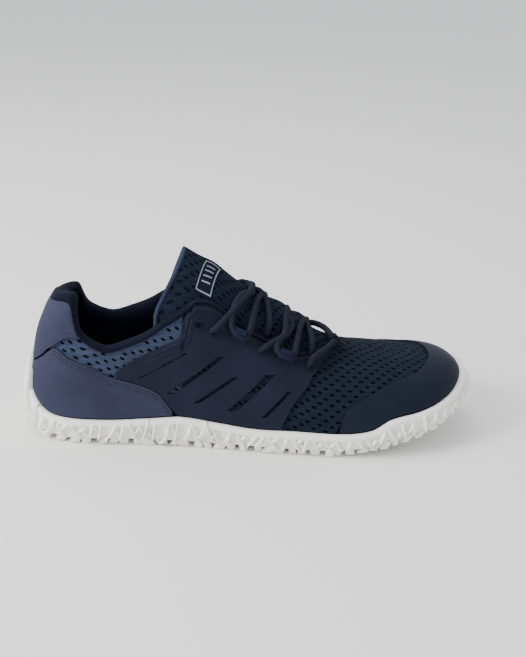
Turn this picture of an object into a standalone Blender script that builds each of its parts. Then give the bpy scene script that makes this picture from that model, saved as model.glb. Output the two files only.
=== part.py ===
"""A low barefoot shoe for the right foot: a hollow knitted upper on a cupped rubber sole.

The shoe points along +X, its outer side is at -Y, and it stands on Z = 0 with its middle over the origin.
Every curved piece is cut from one last, a form worked out from the sizes below.
"""

import math

import bmesh
import bpy
from mathutils import Vector

# Driving sizes, in metres
LENGTH = 0.285
BALL_WIDTH = 0.104
HEEL_HEIGHT = 0.0893
INNER_LOW = 0.0065
COLLAR_DIP = 0.0610
INSTEP_HEIGHT = 0.112
TONGUE_HEIGHT = 0.117
TOE_SPRING = 0.020
HEEL_LIFT = 0.0038
RIM_HEIGHT = 0.0160

# Walls, layers and clearances, in metres
GAP = 0.0003
UPPER_WALL = 0.0018
OVERLAY = 0.0012
SEAT = 0.0008
PANEL_SEAT = 0.0015
RIM_WALL = 0.0028
SOLE_FLOOR = 0.0050
INSOLE = 0.0035
TONGUE_WALL = 0.0045
TONGUE_BULGE = 0.0056
LINING_DEPTH = 0.022
ROLL_RISE = 0.0032
LACE = 0.0040

# Steps of the curved pieces, along a side and up a wall
UPPER_ROWS = 8
CUP_ROWS = 4

# Tread and side relief of the sole, in metres
LUG = 0.0022
RELIEF = 0.0011
BEAD = 0.0042

LATERAL, MEDIAL = -1, 1
SIDES = {"lateral": LATERAL, "medial": MEDIAL}

# The last. Lengths are shares: reach of LENGTH, widths of half BALL_WIDTH, crest of INSTEP_HEIGHT.
# flank and crown shape a section: 2 and 2 make an ellipse, more is squarer.
LAST_COLUMNS = ("reach", "lateral", "medial", "crest", "lean", "flank", "crown")
LAST = (
    (0.147, 0.640, 0.620, 0.940, 0.000, 4.20, 2.00),
    (0.250, 0.655, 0.610, 0.960, 0.000, 4.30, 2.00),
    (0.345, 0.695, 0.595, 0.985, 0.000, 3.40, 1.80),
    (0.400, 0.735, 0.600, 0.950, 0.000, 2.40, 1.80),
    (0.450, 0.775, 0.620, 0.850, 0.006, 2.10, 1.85),
    (0.520, 0.845, 0.665, 0.720, 0.014, 2.05, 1.75),
    (0.600, 0.905, 0.755, 0.590, 0.025, 2.05, 1.70),
    (0.660, 0.940, 0.835, 0.515, 0.038, 2.10, 1.80),
    (0.720, 0.948, 0.905, 0.478, 0.055, 2.20, 2.00),
    (0.790, 0.905, 0.940, 0.447, 0.075, 2.30, 2.20),
    (0.855, 0.805, 0.920, 0.420, 0.090, 2.40, 2.40),
)
HEEL_END = {"flank": 1.60, "crown": 2.00, "round": 2.25, "lean": 0.000}
TOE_END = {"flank": 2.70, "crown": 2.60, "round": 2.20, "lean": 0.130}

# Where the two rounded ends hand over to the sides, as shares of the way round from heel to toe
HEEL_TURN = 0.17
TOE_TURN = 0.80

# Where the heel's roll ends and the toe's spring starts, as shares of LENGTH
HEEL_ROLL = 0.105
SPRING_START = 0.665

# How sharply each of them curves up from the floor
SPRING_CURVE = 1.45
ROLL_CURVE = 1.2

# The way round at which the collar is lowest, at which it meets the throat, and at which the throat ends
DIP_WAY = 0.206
INNER_RUN = 0.080
CORNER_WAY = 0.367
THROAT_END = 0.651

# Collar line: climb from the dip to the heel behind it, and from the dip to the throat's corner ahead
COLLAR_COLUMNS = ("way", "climb")
COLLAR = (
    (0.000, 0.90),
    (0.055, 0.93),
    (0.105, 0.99),
    (0.128, 1.00),
    (0.141, 0.92),
    (0.150, 0.62),
    (0.158, 0.34),
    (0.170, 0.17),
    (0.184, 0.07),
    (DIP_WAY, 0.00),
    (0.240, 0.12),
    (0.277, 0.30),
    (0.313, 0.57),
    (0.342, 0.76),
    (CORNER_WAY, 1.00),
)

# Throat line: rise as a share of the last's height
THROAT_COLUMNS = ("way", "rise")
THROAT = (
    (CORNER_WAY, 0.812),
    (0.400, 0.824),
    (0.430, 0.822),
    (0.465, 0.800),
    (0.500, 0.800),
    (0.560, 0.815),
    (0.600, 0.900),
    (0.628, 0.960),
    (THROAT_END, 1.000),
)

# Rim line of the sole: height of its top edge as a share of RIM_HEIGHT
RIM_COLUMNS = ("way", "rise")
RIM = (
    (0.000, 2.30),
    (0.030, 2.15),
    (0.070, 1.50),
    (0.100, 1.15),
    (0.130, 1.05),
    (0.210, 1.00),
    (0.280, 1.10),
    (0.345, 1.22),
    (0.410, 1.08),
    (0.475, 0.94),
    (0.560, 0.94),
    (0.640, 0.90),
    (0.708, 0.87),
    (0.745, 1.12),
    (0.800, 1.05),
    (0.890, 1.00),
    (1.000, 1.18),
)


# Side of the sole: level from the tread to the rim, and how far it stands proud in rim walls
SOLE_COLUMNS = ("level", "proud")
SOLE_SIDE = (
    (0.00, -1.60),
    (0.05, -0.40),
    (0.16, 0.55),
    (0.38, 0.90),
    (0.70, 0.95),
)
BEAD_SIDE = (
    (-0.02, 0.95),
    (0.12, 1.28),
    (0.75, 1.22),
    (1.00, 0.80),
)

# Pattern of the sole: how far apart lugs and ribs stand and how wide they are, in metres
LUG_PITCH = 0.0200
LUG_WIDTH = 0.0100
RIB_WIDTH = 0.0022
TREAD_PITCH = 0.025
TREAD_LUG = 0.0060
WAY_LENGTH = 1.14 * LENGTH

# Rows of lugs under the sole: first and last way round, and their number less one
TREAD_START, TREAD_END, TREAD_ROWS = 0.12, 0.86, 10
LUG_ROOT = 0.0008

# A lug of the edge: its faces in rim walls from the last, its top as a level, its roots as shares of the floor
LUG_INNER, LUG_BACK, LUG_FACE = -2.6, 0.40, 1.15
LUG_TOP = 0.32
LUG_ROOTS = (0.25, 0.30)

# A rib of the side: its ends as levels, its lean in lug widths, its root and face in rim walls, its taper
RIB_LEVELS = (0.48, 0.90)
RIB_LEAN = 0.75
RIB_ROOT, RIB_FACE = 0.60, 0.95
RIB_TAPER = 0.7

# Places across the insole, as shares of its width
INSOLE_SPREAD = (0.0, 0.3, 0.7, 1.0)

# The tongue: at and sweep are shares of LENGTH, half is a share of the last's half width there
TONGUE_COLUMNS = ("at", "half", "sweep")
TONGUE = (
    (0.745, 0.30, 0.000),
    (0.695, 0.36, 0.000),
    (0.650, 0.42, 0.000),
    (0.615, 0.46, 0.000),
    (0.575, 0.52, 0.000),
    (0.530, 0.58, 0.000),
    (0.475, 0.61, 0.000),
    (0.430, 0.61, 0.008),
    (0.397, 0.60, 0.022),
    (0.373, 0.60, 0.040),
    (0.358, 0.63, 0.052),
    (0.347, 0.65, 0.058),
)
TONGUE_TIP = 0.347
TONGUE_FREE = 0.365
TONGUE_BLEND = 0.050
TONGUE_EDGE = 0.0025
TONGUE_CLEAR = 0.0010
TONGUE_TUCK = 0.0012
TONGUE_SLOPE = 0.60
TONGUE_DROP = 1.00

# The tongue's form: where the collar's corner holds it, where its bulge starts to fade and over what length,
# as shares of LENGTH, how much more its free end droops behind its tip, and the power of its arch
TONGUE_CORNER = 0.372
TONGUE_FADE, TONGUE_FADE_RUN = 0.640, 0.080
TONGUE_FLARE = 2.0
TONGUE_ARCH = 1.6

# Overlays: heights are shares of HEEL_HEIGHT, rises are shares of the last's height
COUNTER_COLUMNS = ("way", "height")
COUNTER = (
    (0.000, 0.493),
    (0.050, 0.526),
    (0.085, 0.594),
    (0.105, 0.655),
    (0.119, 0.677),
    (0.144, 0.616),
    (0.175, 0.566),
    (0.213, 0.493),
    (0.250, 0.459),
    (0.288, 0.413),
    (0.306, 0.370),
    (0.319, 0.302),
    (0.332, 0.245),
    (0.352, 0.170),
)
COUNTER_END = 0.328
COLLAR_SEAM = (
    (0.000, 0.504),
    (0.050, 0.538),
    (0.085, 0.610),
    (0.100, 0.661),
    (0.113, 0.690),
    (0.125, 0.728),
    (0.138, 0.759),
    (0.150, 0.765),
    (0.157, 0.768),
)
PANEL_TOP = (
    (0.222, 0.530),
    (0.250, 0.608),
    (0.288, 0.685),
    (0.331, 0.760),
    (0.342, 0.790),
    (0.350, 0.918),
    (0.363, 0.950),
)
RISE_COLUMNS = ("way", "rise")
PANEL_FRONT = (
    (0.537, 0.163),
    (0.550, 0.317),
    (0.562, 0.427),
    (0.581, 0.560),
    (0.594, 0.690),
    (0.606, 0.770),
    (0.619, 0.860),
    (0.632, 0.915),
)
CAP_TOP = (
    (0.646, 0.200),
    (0.656, 0.400),
    (0.669, 0.484),
    (0.706, 0.623),
    (0.744, 0.740),
    (0.794, 0.857),
    (0.850, 0.924),
    (0.938, 0.963),
    (1.000, 0.972),
)
# How far a panel stays below the throat's edge, in rises, and the way over which it nears it in front
EYESTAY_EDGE, EYESTAY_NEAR = 0.028, 0.25
EYESTAY_RUN = 0.090

# Slits in each side panel: the way and height of the low and the high end, and the width along the way
SLIT_COLUMNS = ("low_way", "low", "high_way", "high", "width")
SLITS = (
    (0.262, 0.500, 0.350, 0.690, 0.007),
    (0.318, 0.395, 0.412, 0.660, 0.014),
    (0.368, 0.335, 0.440, 0.525, 0.012),
    (0.432, 0.290, 0.503, 0.540, 0.019),
    (0.497, 0.260, 0.543, 0.435, 0.010),
)

# Padding of the collar lining along the way, in shares of LINING_PAD
LINING_COLUMNS = ("way", "pad")
LINING = (
    (0.000, 1.00),
    (0.110, 1.00),
    (0.160, 0.75),
    (0.220, 0.55),
    (0.320, 0.44),
)

# Section of the lining: the roll's shoulder as a share of its rise, the pad's depth at the top and the hem
# as shares of the pad, and how far down it is fullest as a share of the lining's depth
ROLL_SHOULDER = 0.6
PAD_TOP, PAD_HEM = 0.7, 0.3
PAD_BELLY = 0.3

# Eyelets of each side, from the ankle to the toe, and the two webbing loops between them
EYELET_COLUMNS = ("way", "rise")
EYELETS = (
    (0.375, 0.684),
    (0.400, 0.664),
    (0.494, 0.713),
    (0.588, 0.766),
)
LOOPS = {"rear": 0.457, "front": 0.547}

# Laces, webbing loops and patch, in metres
LACE_STEPS = 2
TAPE = 0.0008
LOOP_WIDTH = 0.0045
LOOP_ROOM = 0.0020
LOOP_INSET = 0.0040
LOOP_LIFT = 0.0022
KEEPER_WIDTH = 0.0040
KEEPER_LIFT = 0.0022
LACE_CLEAR = 0.0006
LACE_START = 0.0100
THROAT_REACH = 0.0120
CROSS_LIFT = 0.0022
EYELET_STOP = 0.0035
LINING_PAD = 0.0080

# Where the front bar starts on its way from the eyelet to the keeper, and how a cord nears a loop's eye,
# in lace widths ahead of it and of sideways turn
BAR_START = 0.25
EYE_AHEAD = 2.4
EYE_TURN = 0.1
LOOP_SIDES = 8
LABEL_STEPS = 4

# Where the keeper loop stands, along the shoe and as a way round, and the patch's corners in plan,
# as shares of LENGTH and BALL_WIDTH
KEEPER_AT = 0.693
KEEPER_WAY = 0.655
LABEL = ((0.376, -0.038), (0.411, -0.038), (0.3906, -0.183), (0.3554, -0.173))


def smooth(rows, names, name, at):
    """Reads a smooth curve through one column of a table, at a value of its first column."""
    xs = [row[0] for row in rows]
    ys = [row[names.index(name)] for row in rows]
    at = min(max(at, xs[0]), xs[-1])
    k = max(i for i in range(len(xs) - 1) if xs[i] <= at)
    slopes = []
    for i in (k, k + 1):
        before, after = max(i - 1, 0), min(i + 1, len(xs) - 1)
        slopes.append((ys[after] - ys[before]) / (xs[after] - xs[before]))
    span = xs[k + 1] - xs[k]
    t = (at - xs[k]) / span
    ease = 3 * t**2 - 2 * t**3
    bend = slopes[0] * (t**3 - 2 * t**2 + t) + slopes[1] * (t**3 - t**2)
    return ys[k] + (ys[k + 1] - ys[k]) * ease + span * bend


def last_at(reach, name):
    return smooth(LAST, LAST_COLUMNS, name, reach)


def half_width(side, reach):
    return BALL_WIDTH / 2 * last_at(reach, "lateral" if side == LATERAL else "medial")


def reach_at(way):
    """The share of the length at a way round one side, held at the two turns."""
    share = (way - HEEL_TURN) / (TOE_TURN - HEEL_TURN)
    return LAST[0][0] + (LAST[-1][0] - LAST[0][0]) * min(max(share, 0.0), 1.0)


def way_at(x):
    """The way round at a distance from the back of the heel, between the two turns."""
    share = (x / LENGTH - LAST[0][0]) / (LAST[-1][0] - LAST[0][0])
    return HEEL_TURN + (TOE_TURN - HEEL_TURN) * share


def spring(x):
    """How far the sole has risen off the floor at a distance from the back of the heel."""
    start = SPRING_START * LENGTH
    ahead = max(0.0, (x - start) / (LENGTH - start))
    return TOE_SPRING * ahead**SPRING_CURVE


def ground(x):
    """Height of the tread's underside, which rolls up a little at the back of the heel."""
    return spring(x) + HEEL_LIFT * max(0.0, 1 - x / (HEEL_ROLL * LENGTH)) ** ROLL_CURVE


def outline(side, way):
    """The last's outline, from the back of the heel (way 0) to the tip of the toe (way 1)."""
    reach = reach_at(way)
    x, y = reach * LENGTH, half_width(side, reach)
    if way < HEEL_TURN:
        angle = math.pi / 2 * max(way, 0.0) / HEEL_TURN
        power = 2 / HEEL_END["round"]
        y *= math.sin(angle) ** power
        x -= (x - RIM_WALL) * math.cos(angle) ** power
    if way > TOE_TURN:
        angle = math.pi / 2 * (min(way, 1.0) - TOE_TURN) / (1 - TOE_TURN)
        power = 2 / TOE_END["round"]
        ahead = (LENGTH - RIM_WALL - x) * math.sin(angle) ** power
        slope = (y - half_width(side, reach - 0.03)) / (0.03 * LENGTH)
        y = (y + slope * ahead) * max(math.cos(angle), 0.0) ** power
        lean = BALL_WIDTH / 2 * TOE_END["lean"] * (ahead / (LENGTH - RIM_WALL - x)) ** 2
        return x + ahead, side * y + lean
    return x, side * y


def outward(side, way):
    """The unit normal of the outline in plan."""
    if way <= 0.0:
        return Vector((-1.0, 0.0))
    if way >= 1.0:
        return Vector((1.0, 0.0))
    step = 0.004
    behind, ahead = outline(side, max(way - step, 0.0)), outline(side, min(way + step, 1.0))
    along = Vector((ahead[0] - behind[0], ahead[1] - behind[1])).normalized()
    return Vector((along.y, -along.x)) * (1 if side == LATERAL else -1)


def deck_height(x):
    """Height of the cupped sole's floor, on which the upper and the insole stand."""
    return spring(x) + LUG + SOLE_FLOOR


def meridian(side, way):
    """One upright curve of the last: its foot, outward normal, crest point and two shape powers."""
    reach = reach_at(way)
    x, y = outline(side, way)
    crest = Vector((reach * LENGTH, BALL_WIDTH / 2 * last_at(reach, "lean"), INSTEP_HEIGHT * last_at(reach, "crest")))
    flank, crown = last_at(reach, "flank"), last_at(reach, "crown")
    if way < HEEL_TURN:
        blend = math.cos(math.pi / 2 * way / HEEL_TURN) ** 2
        flank += (HEEL_END["flank"] - flank) * blend
        crown += (HEEL_END["crown"] - crown) * blend
    if way > TOE_TURN:
        blend = math.sin(math.pi / 2 * (way - TOE_TURN) / (1 - TOE_TURN)) ** 2
        flank += (TOE_END["flank"] - flank) * blend
        crown += (TOE_END["crown"] - crown) * blend
    return Vector((x, y, deck_height(x) + GAP)), outward(side, way), crest, flank, crown


def skin(side, way, rise, grow=0.0):
    """A point of the last's surface, grown outward by a distance. rise is the share of its height."""
    foot, normal, crest, flank, crown = meridian(side, way)
    rise = min(max(rise, 0.0), 1.0)
    spread = (1 - rise**flank) ** (1 / crown)
    x = crest.x + (foot.x + normal.x * grow - crest.x) * spread
    y = crest.y + (foot.y + normal.y * grow - crest.y) * spread
    return Vector((x - LENGTH / 2, y, foot.z + (crest.z + grow - foot.z) * rise))


def rise_of(side, way, height):
    """The share of the last's height that a height above the ground is."""
    foot, _, crest, _, _ = meridian(side, way)
    return min(max((height - foot.z) / (crest.z - foot.z), 0.0), 1.0)


def height_of(side, way, rise):
    foot, _, crest, _, _ = meridian(side, way)
    return foot.z + (crest.z - foot.z) * rise


def rises(low, high, count):
    """Rises from low to high, spaced evenly over the curve of the last."""
    start, end = math.asin(min(max(low, 0.0), 1.0)), math.asin(min(max(high, 0.0), 1.0))
    return [math.sin(start + (end - start) * i / count) for i in range(count + 1)]


def edge_rise(side, way):
    """Rise of the upper's top edge: the collar, then the throat, then the closed vamp."""
    if way >= THROAT_END:
        return 1.0
    if way >= CORNER_WAY:
        return smooth(THROAT, THROAT_COLUMNS, "rise", way)
    climb = smooth(COLLAR, COLLAR_COLUMNS, "climb", way)
    corner = height_of(side, CORNER_WAY, THROAT[0][1])
    top = HEEL_HEIGHT if way < DIP_WAY else corner
    if side == MEDIAL and way < DIP_WAY:
        top -= INNER_LOW * min(1.0, way / INNER_RUN)
    return rise_of(side, way, COLLAR_DIP + (top - COLLAR_DIP) * climb)


def rim_height(way):
    """Height of the sole's top edge above its rise off the floor at that place."""
    x = outline(LATERAL, way)[0]
    return spring(x) + RIM_HEIGHT * smooth(RIM, RIM_COLUMNS, "rise", way)


def steps(start, end, count):
    return [start + (end - start) * i / count for i in range(count + 1)]


def add_mesh(name, verts, faces, material, collection):
    """Adds a closed mesh with its doubled points merged and its faces pointing out."""
    mesh = bpy.data.meshes.new(name)
    mesh.from_pydata([tuple(v) for v in verts], [], faces)
    bm = bmesh.new()
    bm.from_mesh(mesh)
    bmesh.ops.remove_doubles(bm, verts=bm.verts, dist=2e-6)
    bmesh.ops.dissolve_degenerate(bm, edges=bm.edges, dist=2e-6)
    bmesh.ops.recalc_face_normals(bm, faces=bm.faces)
    bm.to_mesh(mesh)
    bm.free()
    item = bpy.data.objects.new(name, mesh)
    if material:
        mesh.materials.append(material)
        mesh.shade_smooth()
        mesh.set_sharp_from_angle(angle=math.radians(40))
    collection.objects.link(item)
    return item


def loft(rings, closed=False):
    """Verts and faces of a skin over closed rings with equal counts, capped unless it closes on itself."""
    count = len(rings[0])
    verts = [p for ring in rings for p in ring]
    faces = []
    for i in range(len(rings) if closed else len(rings) - 1):
        a, b = i * count, (i + 1) % len(rings) * count
        for j in range(count):
            k = (j + 1) % count
            faces.append((a + j, a + k, b + k, b + j))
    if not closed:
        faces.append(tuple(reversed(range(count))))
        faces.append(tuple(range(len(verts) - count, len(verts))))
    return verts, faces


def slab(outer, inner):
    """Verts and faces of a wall between two sheets of points with equal rows."""
    rows, count = len(outer), len(outer[0])
    verts = [p for row in outer for p in row] + [p for row in inner for p in row]
    back = rows * count
    faces = []
    for i in range(rows - 1):
        for j in range(count - 1):
            a, b, c, d = i * count + j, i * count + j + 1, (i + 1) * count + j + 1, (i + 1) * count + j
            faces.append((a, b, c, d))
            faces.append((back + d, back + c, back + b, back + a))
    border = [j for j in range(count)]
    border += [i * count + count - 1 for i in range(1, rows)]
    border += [(rows - 1) * count + j for j in range(count - 2, -1, -1)]
    border += [i * count for i in range(rows - 2, 0, -1)]
    for k, a in enumerate(border):
        b = border[(k + 1) % len(border)]
        faces.append((b, a, back + a, back + b))
    return verts, faces


def around(ways):
    """Stations right round the shoe: up the outer side from the heel to the toe and back on the inner."""
    return [(LATERAL, w) for w in ways] + [(MEDIAL, w) for w in reversed(ways[1:-1])]


def side_ways(start=0.0, end=1.0):
    """The stations of one side that every curved piece shares, from a start to an end that count too."""
    shared = steps(0.0, 0.12, 5) + [0.136, 0.149, 0.159, HEEL_TURN, 0.186, DIP_WAY]
    shared += steps(DIP_WAY, CORNER_WAY, 5)[1:] + steps(CORNER_WAY, THROAT_END, 8)[1:]
    shared += [0.69, 0.73, 0.76] + steps(TOE_TURN, 1.0, 7)
    return [start] + [w for w in shared if start + 1e-6 < w < end - 1e-6] + [end]


def finish(name, colour, rough):
    """A material of one colour."""
    material = bpy.data.materials.new(name)
    material.use_nodes = True
    shader = material.node_tree.nodes["Principled BSDF"]
    shader.inputs["Base Color"].default_value = (*colour, 1.0)
    shader.inputs["Roughness"].default_value = rough
    shader.inputs["Metallic"].default_value = 0.0
    return material


def sheet(side_ways, low, high, grow, count):
    """Rows of skin points, one for each station, from its low rise to its high rise."""
    rows = []
    for side, way in side_ways:
        bottom, top = low(side, way), high(side, way)
        rows.append([skin(side, way, r, grow) for r in rises(bottom, top, count)])
    return rows


def make_upper(collection, material):
    """The hollow knitted upper: two skins of the last, joined at its feather edge and its top edge."""
    stations = around(side_ways())
    outer = sheet(stations, lambda s, w: 0.0, edge_rise, 0.0, UPPER_ROWS)
    inner = sheet(stations, lambda s, w: 0.0, edge_rise, -UPPER_WALL, UPPER_ROWS)
    rows, count = len(outer), UPPER_ROWS + 1
    verts = [p for row in outer for p in row] + [p for row in inner for p in row]
    faces = []
    for i in range(rows):
        a, b = i * count, (i + 1) % rows * count
        back = rows * count
        for j in range(UPPER_ROWS):
            faces.append((a + j, b + j, b + j + 1, a + j + 1))
            faces.append((back + a + j + 1, back + b + j + 1, back + b + j, back + a + j))
        faces.append((b, a, back + a, back + b))
        open_here = max(stations[i][1], stations[(i + 1) % rows][1]) <= THROAT_END + 1e-9
        if open_here:
            faces.append((a + UPPER_ROWS, b + UPPER_ROWS, back + b + UPPER_ROWS, back + a + UPPER_ROWS))
    return add_mesh("upper", verts, faces, material, collection)


def make_insole(collection, material):
    """A thin insole inside the upper, following the sole's arch and spring."""
    inset = -(UPPER_WALL + 2 * GAP)

    def foot(side, way, lift):
        point = skin(side, way, 0.0, inset)
        return Vector((point.x, point.y, point.z + lift))

    def level(lift):
        return [[foot(LATERAL, w, lift).lerp(foot(MEDIAL, w, lift), t) for t in INSOLE_SPREAD]
                for w in side_ways()]

    verts, faces = slab(level(INSOLE), level(0.0))
    return add_mesh("insole", verts, faces, material, collection)


def wall(side, way, height, grow):
    """A point of the grown last at an exact height above the ground."""
    foot, _, crest, _, _ = meridian(side, way)
    point = skin(side, way, (height - foot.z) / (crest.z + grow - foot.z), grow)
    point.z = height
    return point


def sole_height(way, level):
    """Height on the sole's side: 0 at the tread's base and 1 where the bead starts."""
    low = ground(outline(LATERAL, way)[0]) + LUG
    plain = RIM_HEIGHT - BEAD - LUG
    return low + plain * level + (rim_height(way) - BEAD - low - plain) * level**3


def sole_column(side, way):
    """The points up the outer side of the sole at one station."""
    column = []
    for level, proud in SOLE_SIDE:
        column.append(wall(side, way, sole_height(way, level), proud * RIM_WALL))
    for level, proud in BEAD_SIDE:
        column.append(wall(side, way, sole_height(way, 1.0) + BEAD * level, proud * RIM_WALL))
    return column


def make_outsole(collection, material, cutters):
    """The cupped rubber sole with its rim, and the lugs and ribs that stand out from it."""
    stations = around(side_ways())
    columns = []
    for side, way in stations:
        column = sole_column(side, way)
        top = rim_height(way)
        foot = skin(side, way, 0.0, GAP)
        for height in steps(top, foot.z, CUP_ROWS)[:-1]:
            column.append(wall(side, way, height, GAP))
        column.append(Vector((foot.x, foot.y, foot.z - GAP)))
        columns.append(column)
    rows, count = len(columns), len(columns[0])
    verts = [p for column in columns for p in column]
    faces = []
    for i in range(rows):
        a, b = i * count, (i + 1) % rows * count
        for j in range(count - 1):
            faces.append((a + j, b + j, b + j + 1, a + j + 1))
    last = rows // 2
    for i in range(last):
        left, right = i, i + 1
        left_far, right_far = (rows - i) % rows, rows - i - 1
        for j, flip in ((0, False), (count - 1, True)):
            face = [left * count + j, left_far * count + j, right_far * count + j, right * count + j]
            faces.append(tuple(reversed(face)) if flip else tuple(face))
    sole = add_mesh("outsole", verts, faces, material, collection)
    relief = add_relief(cutters)
    union = sole.modifiers.new("tread and ribs", "BOOLEAN")
    union.operation = "UNION"
    union.solver = "EXACT"
    union.object = relief
    union.use_self = True
    return sole


def add_relief(cutters):
    """The lugs round the sole's edge, the ribs up its side and the lugs under it, as one set of blocks."""
    verts, faces = [], []

    def add(part):
        base = len(verts)
        verts.extend(part[0])
        faces.extend(tuple(base + k for k in face) for face in part[1])

    count = 2 * round(WAY_LENGTH / LUG_PITCH / 2)
    half = LUG_WIDTH / 2 / WAY_LENGTH
    for side in SIDES.values():
        for i in range(count):
            way = (i + 0.5) / count
            add(edge_lug(side, way, half))
            if i % 2:
                lean = RIB_LEAN * LUG_WIDTH / WAY_LENGTH * (1 if i % 4 == 1 else -1)
                add(rib(side, way, RIB_LEVELS[0], way + lean, RIB_LEVELS[1]))
    for way in steps(TREAD_START, TREAD_END, TREAD_ROWS):
        x = outline(LATERAL, way)[0]
        width = [outline(side, way)[1] for side in (LATERAL, MEDIAL)]
        room = width[1] - width[0] - 2 * TREAD_PITCH
        across = max(0, round(room / TREAD_PITCH))
        for j in range(across + 1):
            y = width[0] + TREAD_PITCH + room * (j / across if across else 0.5)
            add(tread_lug(x, y))
    relief = add_mesh("tread and ribs", verts, faces, None, cutters)
    relief.hide_render = True
    relief.display_type = "WIRE"
    return relief


def edge_lug(side, way, half):
    """A lug across the edge of the tread, from its underside out to the face of the side."""
    rings = []
    for w in (way - half, way + half):
        inner, outer = skin(side, w, 0.0, LUG_INNER * RIM_WALL), skin(side, w, 0.0, LUG_FACE * RIM_WALL)
        rings.append([
            Vector((inner.x, inner.y, ground(inner.x + LENGTH / 2))),
            Vector((outer.x, outer.y, ground(outer.x + LENGTH / 2))),
            wall(side, w, sole_height(w, LUG_TOP), LUG_FACE * RIM_WALL),
            wall(side, w, sole_height(w, LUG_TOP), LUG_BACK * RIM_WALL),
            wall(side, w, sole_height(w, 0.0) + LUG_ROOTS[0] * SOLE_FLOOR, LUG_BACK * RIM_WALL),
            Vector((inner.x, inner.y, ground(inner.x + LENGTH / 2) + LUG + LUG_ROOTS[1] * SOLE_FLOOR)),
        ])
    return loft(rings)


def rib(side, way_a, level_a, way_b, level_b):
    """A slanting rib on the side of the sole, between two places on it."""
    low, high = sole_height(way_a, level_a), sole_height(way_b, level_b)
    run = Vector(((way_b - way_a) * WAY_LENGTH, high - low)).normalized()
    shift = Vector((-run.y, run.x)) * RIB_WIDTH / 2
    rings = []
    for grow, narrow in ((RIB_ROOT * RIM_WALL, 1.0), (RIB_FACE * RIM_WALL + RELIEF, RIB_TAPER)):
        ring = []
        for way, height, sign in ((way_a, low, -1), (way_b, high, -1), (way_b, high, 1), (way_a, low, 1)):
            w = way + sign * narrow * shift.x / WAY_LENGTH
            ring.append(wall(side, w, height + sign * narrow * shift.y, grow))
        rings.append(ring)
    return loft(rings)


def tread_lug(x, y):
    """A four-sided lug under the sole, standing on the ground or following the spring."""
    rings = []
    for depth in (0.0, LUG + LUG_ROOT):
        ring = []
        for k in range(4):
            px, py = x + TREAD_LUG * math.cos(math.pi / 2 * k), y + TREAD_LUG * math.sin(math.pi / 2 * k)
            ring.append(Vector((px - LENGTH / 2, py, ground(px) + depth)))
        rings.append(ring)
    return loft(rings)


def last_height(x, y, grow):
    """Height of the grown last over a place in plan, x from the back of the heel, between the two turns."""
    side = LATERAL if y < 0 else MEDIAL
    foot, _, crest, flank, crown = meridian(side, way_at(x))
    share = abs(y - crest.y) / (abs(foot.y - crest.y) + grow)
    rise = (1 - min(share, 1.0) ** crown) ** (1 / flank)
    return foot.z + (crest.z + grow - foot.z) * rise


def throat_half(side, x):
    """Half width of the throat's opening at a distance from the back of the heel."""
    way = way_at(x)
    return abs(skin(side, way, edge_rise(side, way)).y)


def tongue_height(x, y):
    """Height of the tongue's outer face over a place in plan, x from the back of the heel."""
    corner = TONGUE_CORNER * LENGTH
    side = LATERAL if y < 0 else MEDIAL
    held = max(x, corner)
    half = throat_half(side, held) - TONGUE_EDGE
    fade = min(max((TONGUE_FADE - x / LENGTH) / TONGUE_FADE_RUN, 0.0), 1.0)
    under = last_height(held, y, -(UPPER_WALL + TONGUE_CLEAR + TONGUE_TUCK * (1 - fade)))
    bulge = TONGUE_BULGE * fade * max(0.0, 1 - (y / max(half, TONGUE_EDGE)) ** 2)
    tip = TONGUE_TIP * LENGTH
    drop = TONGUE_DROP * TONGUE_HEIGHT * (1 + max(0.0, TONGUE_FLARE * (tip - x) / BALL_WIDTH))
    free = TONGUE_HEIGHT - (x - tip) * TONGUE_SLOPE - drop * (abs(y) / (BALL_WIDTH / 2)) ** TONGUE_ARCH
    blend = min(max((x / LENGTH - TONGUE_FREE) / TONGUE_BLEND, 0.0), 1.0)
    blend = blend * blend * (3 - 2 * blend)
    height = free + (under + bulge - free) * blend
    covered = x > corner - TONGUE_EDGE and abs(y) > half
    return min(height, under) if covered else height


def make_tongue(collection, material):
    """The padded tongue, held under the throat in front and standing free behind it."""
    across = steps(-1.0, 1.0, 10)
    outer = []
    for at, half, sweep in TONGUE:
        row = []
        for b in across:
            side = LATERAL if b < 0 else MEDIAL
            x, y = (at - sweep * b * b) * LENGTH, half * half_width(side, at) * b
            y += BALL_WIDTH / 2 * last_at(at, "lean")
            row.append(Vector((x - LENGTH / 2, y, tongue_height(x, y))))
        outer.append(row)
    inner = thicken(outer, TONGUE_WALL)
    verts, faces = slab(outer, inner)
    return add_mesh("tongue", verts, faces, material, collection)


def thicken(sheet_rows, depth):
    """The sheet moved along its own normals, towards the inside of the shoe."""
    moved = []
    for i, row in enumerate(sheet_rows):
        line = []
        for j, point in enumerate(row):
            down = sheet_rows[min(i + 1, len(sheet_rows) - 1)][j] - sheet_rows[max(i - 1, 0)][j]
            over = row[min(j + 1, len(row) - 1)] - row[max(j - 1, 0)]
            normal = down.cross(over).normalized()
            if normal.z < 0:
                normal.negate()
            line.append(point - normal * depth)
        moved.append(line)
    return moved


def over_rim(side, way):
    """Rise of the lowest edge of an overlay, just clear of the sole's rim."""
    return rise_of(side, way, rim_height(way) + 3 * GAP)


def height_share(rows, side, way, drop=0.0):
    """Rise of a line whose heights are shares of the heel's height."""
    return rise_of(side, way, HEEL_HEIGHT * smooth(rows, COUNTER_COLUMNS, "height", way) - drop)


def counter_top(side, way):
    line = height_share(COUNTER, side, way)
    if way > COLLAR_SEAM[-1][0]:
        return line
    return min(line, height_share(COLLAR_SEAM, side, way, 3 * GAP))


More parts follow.
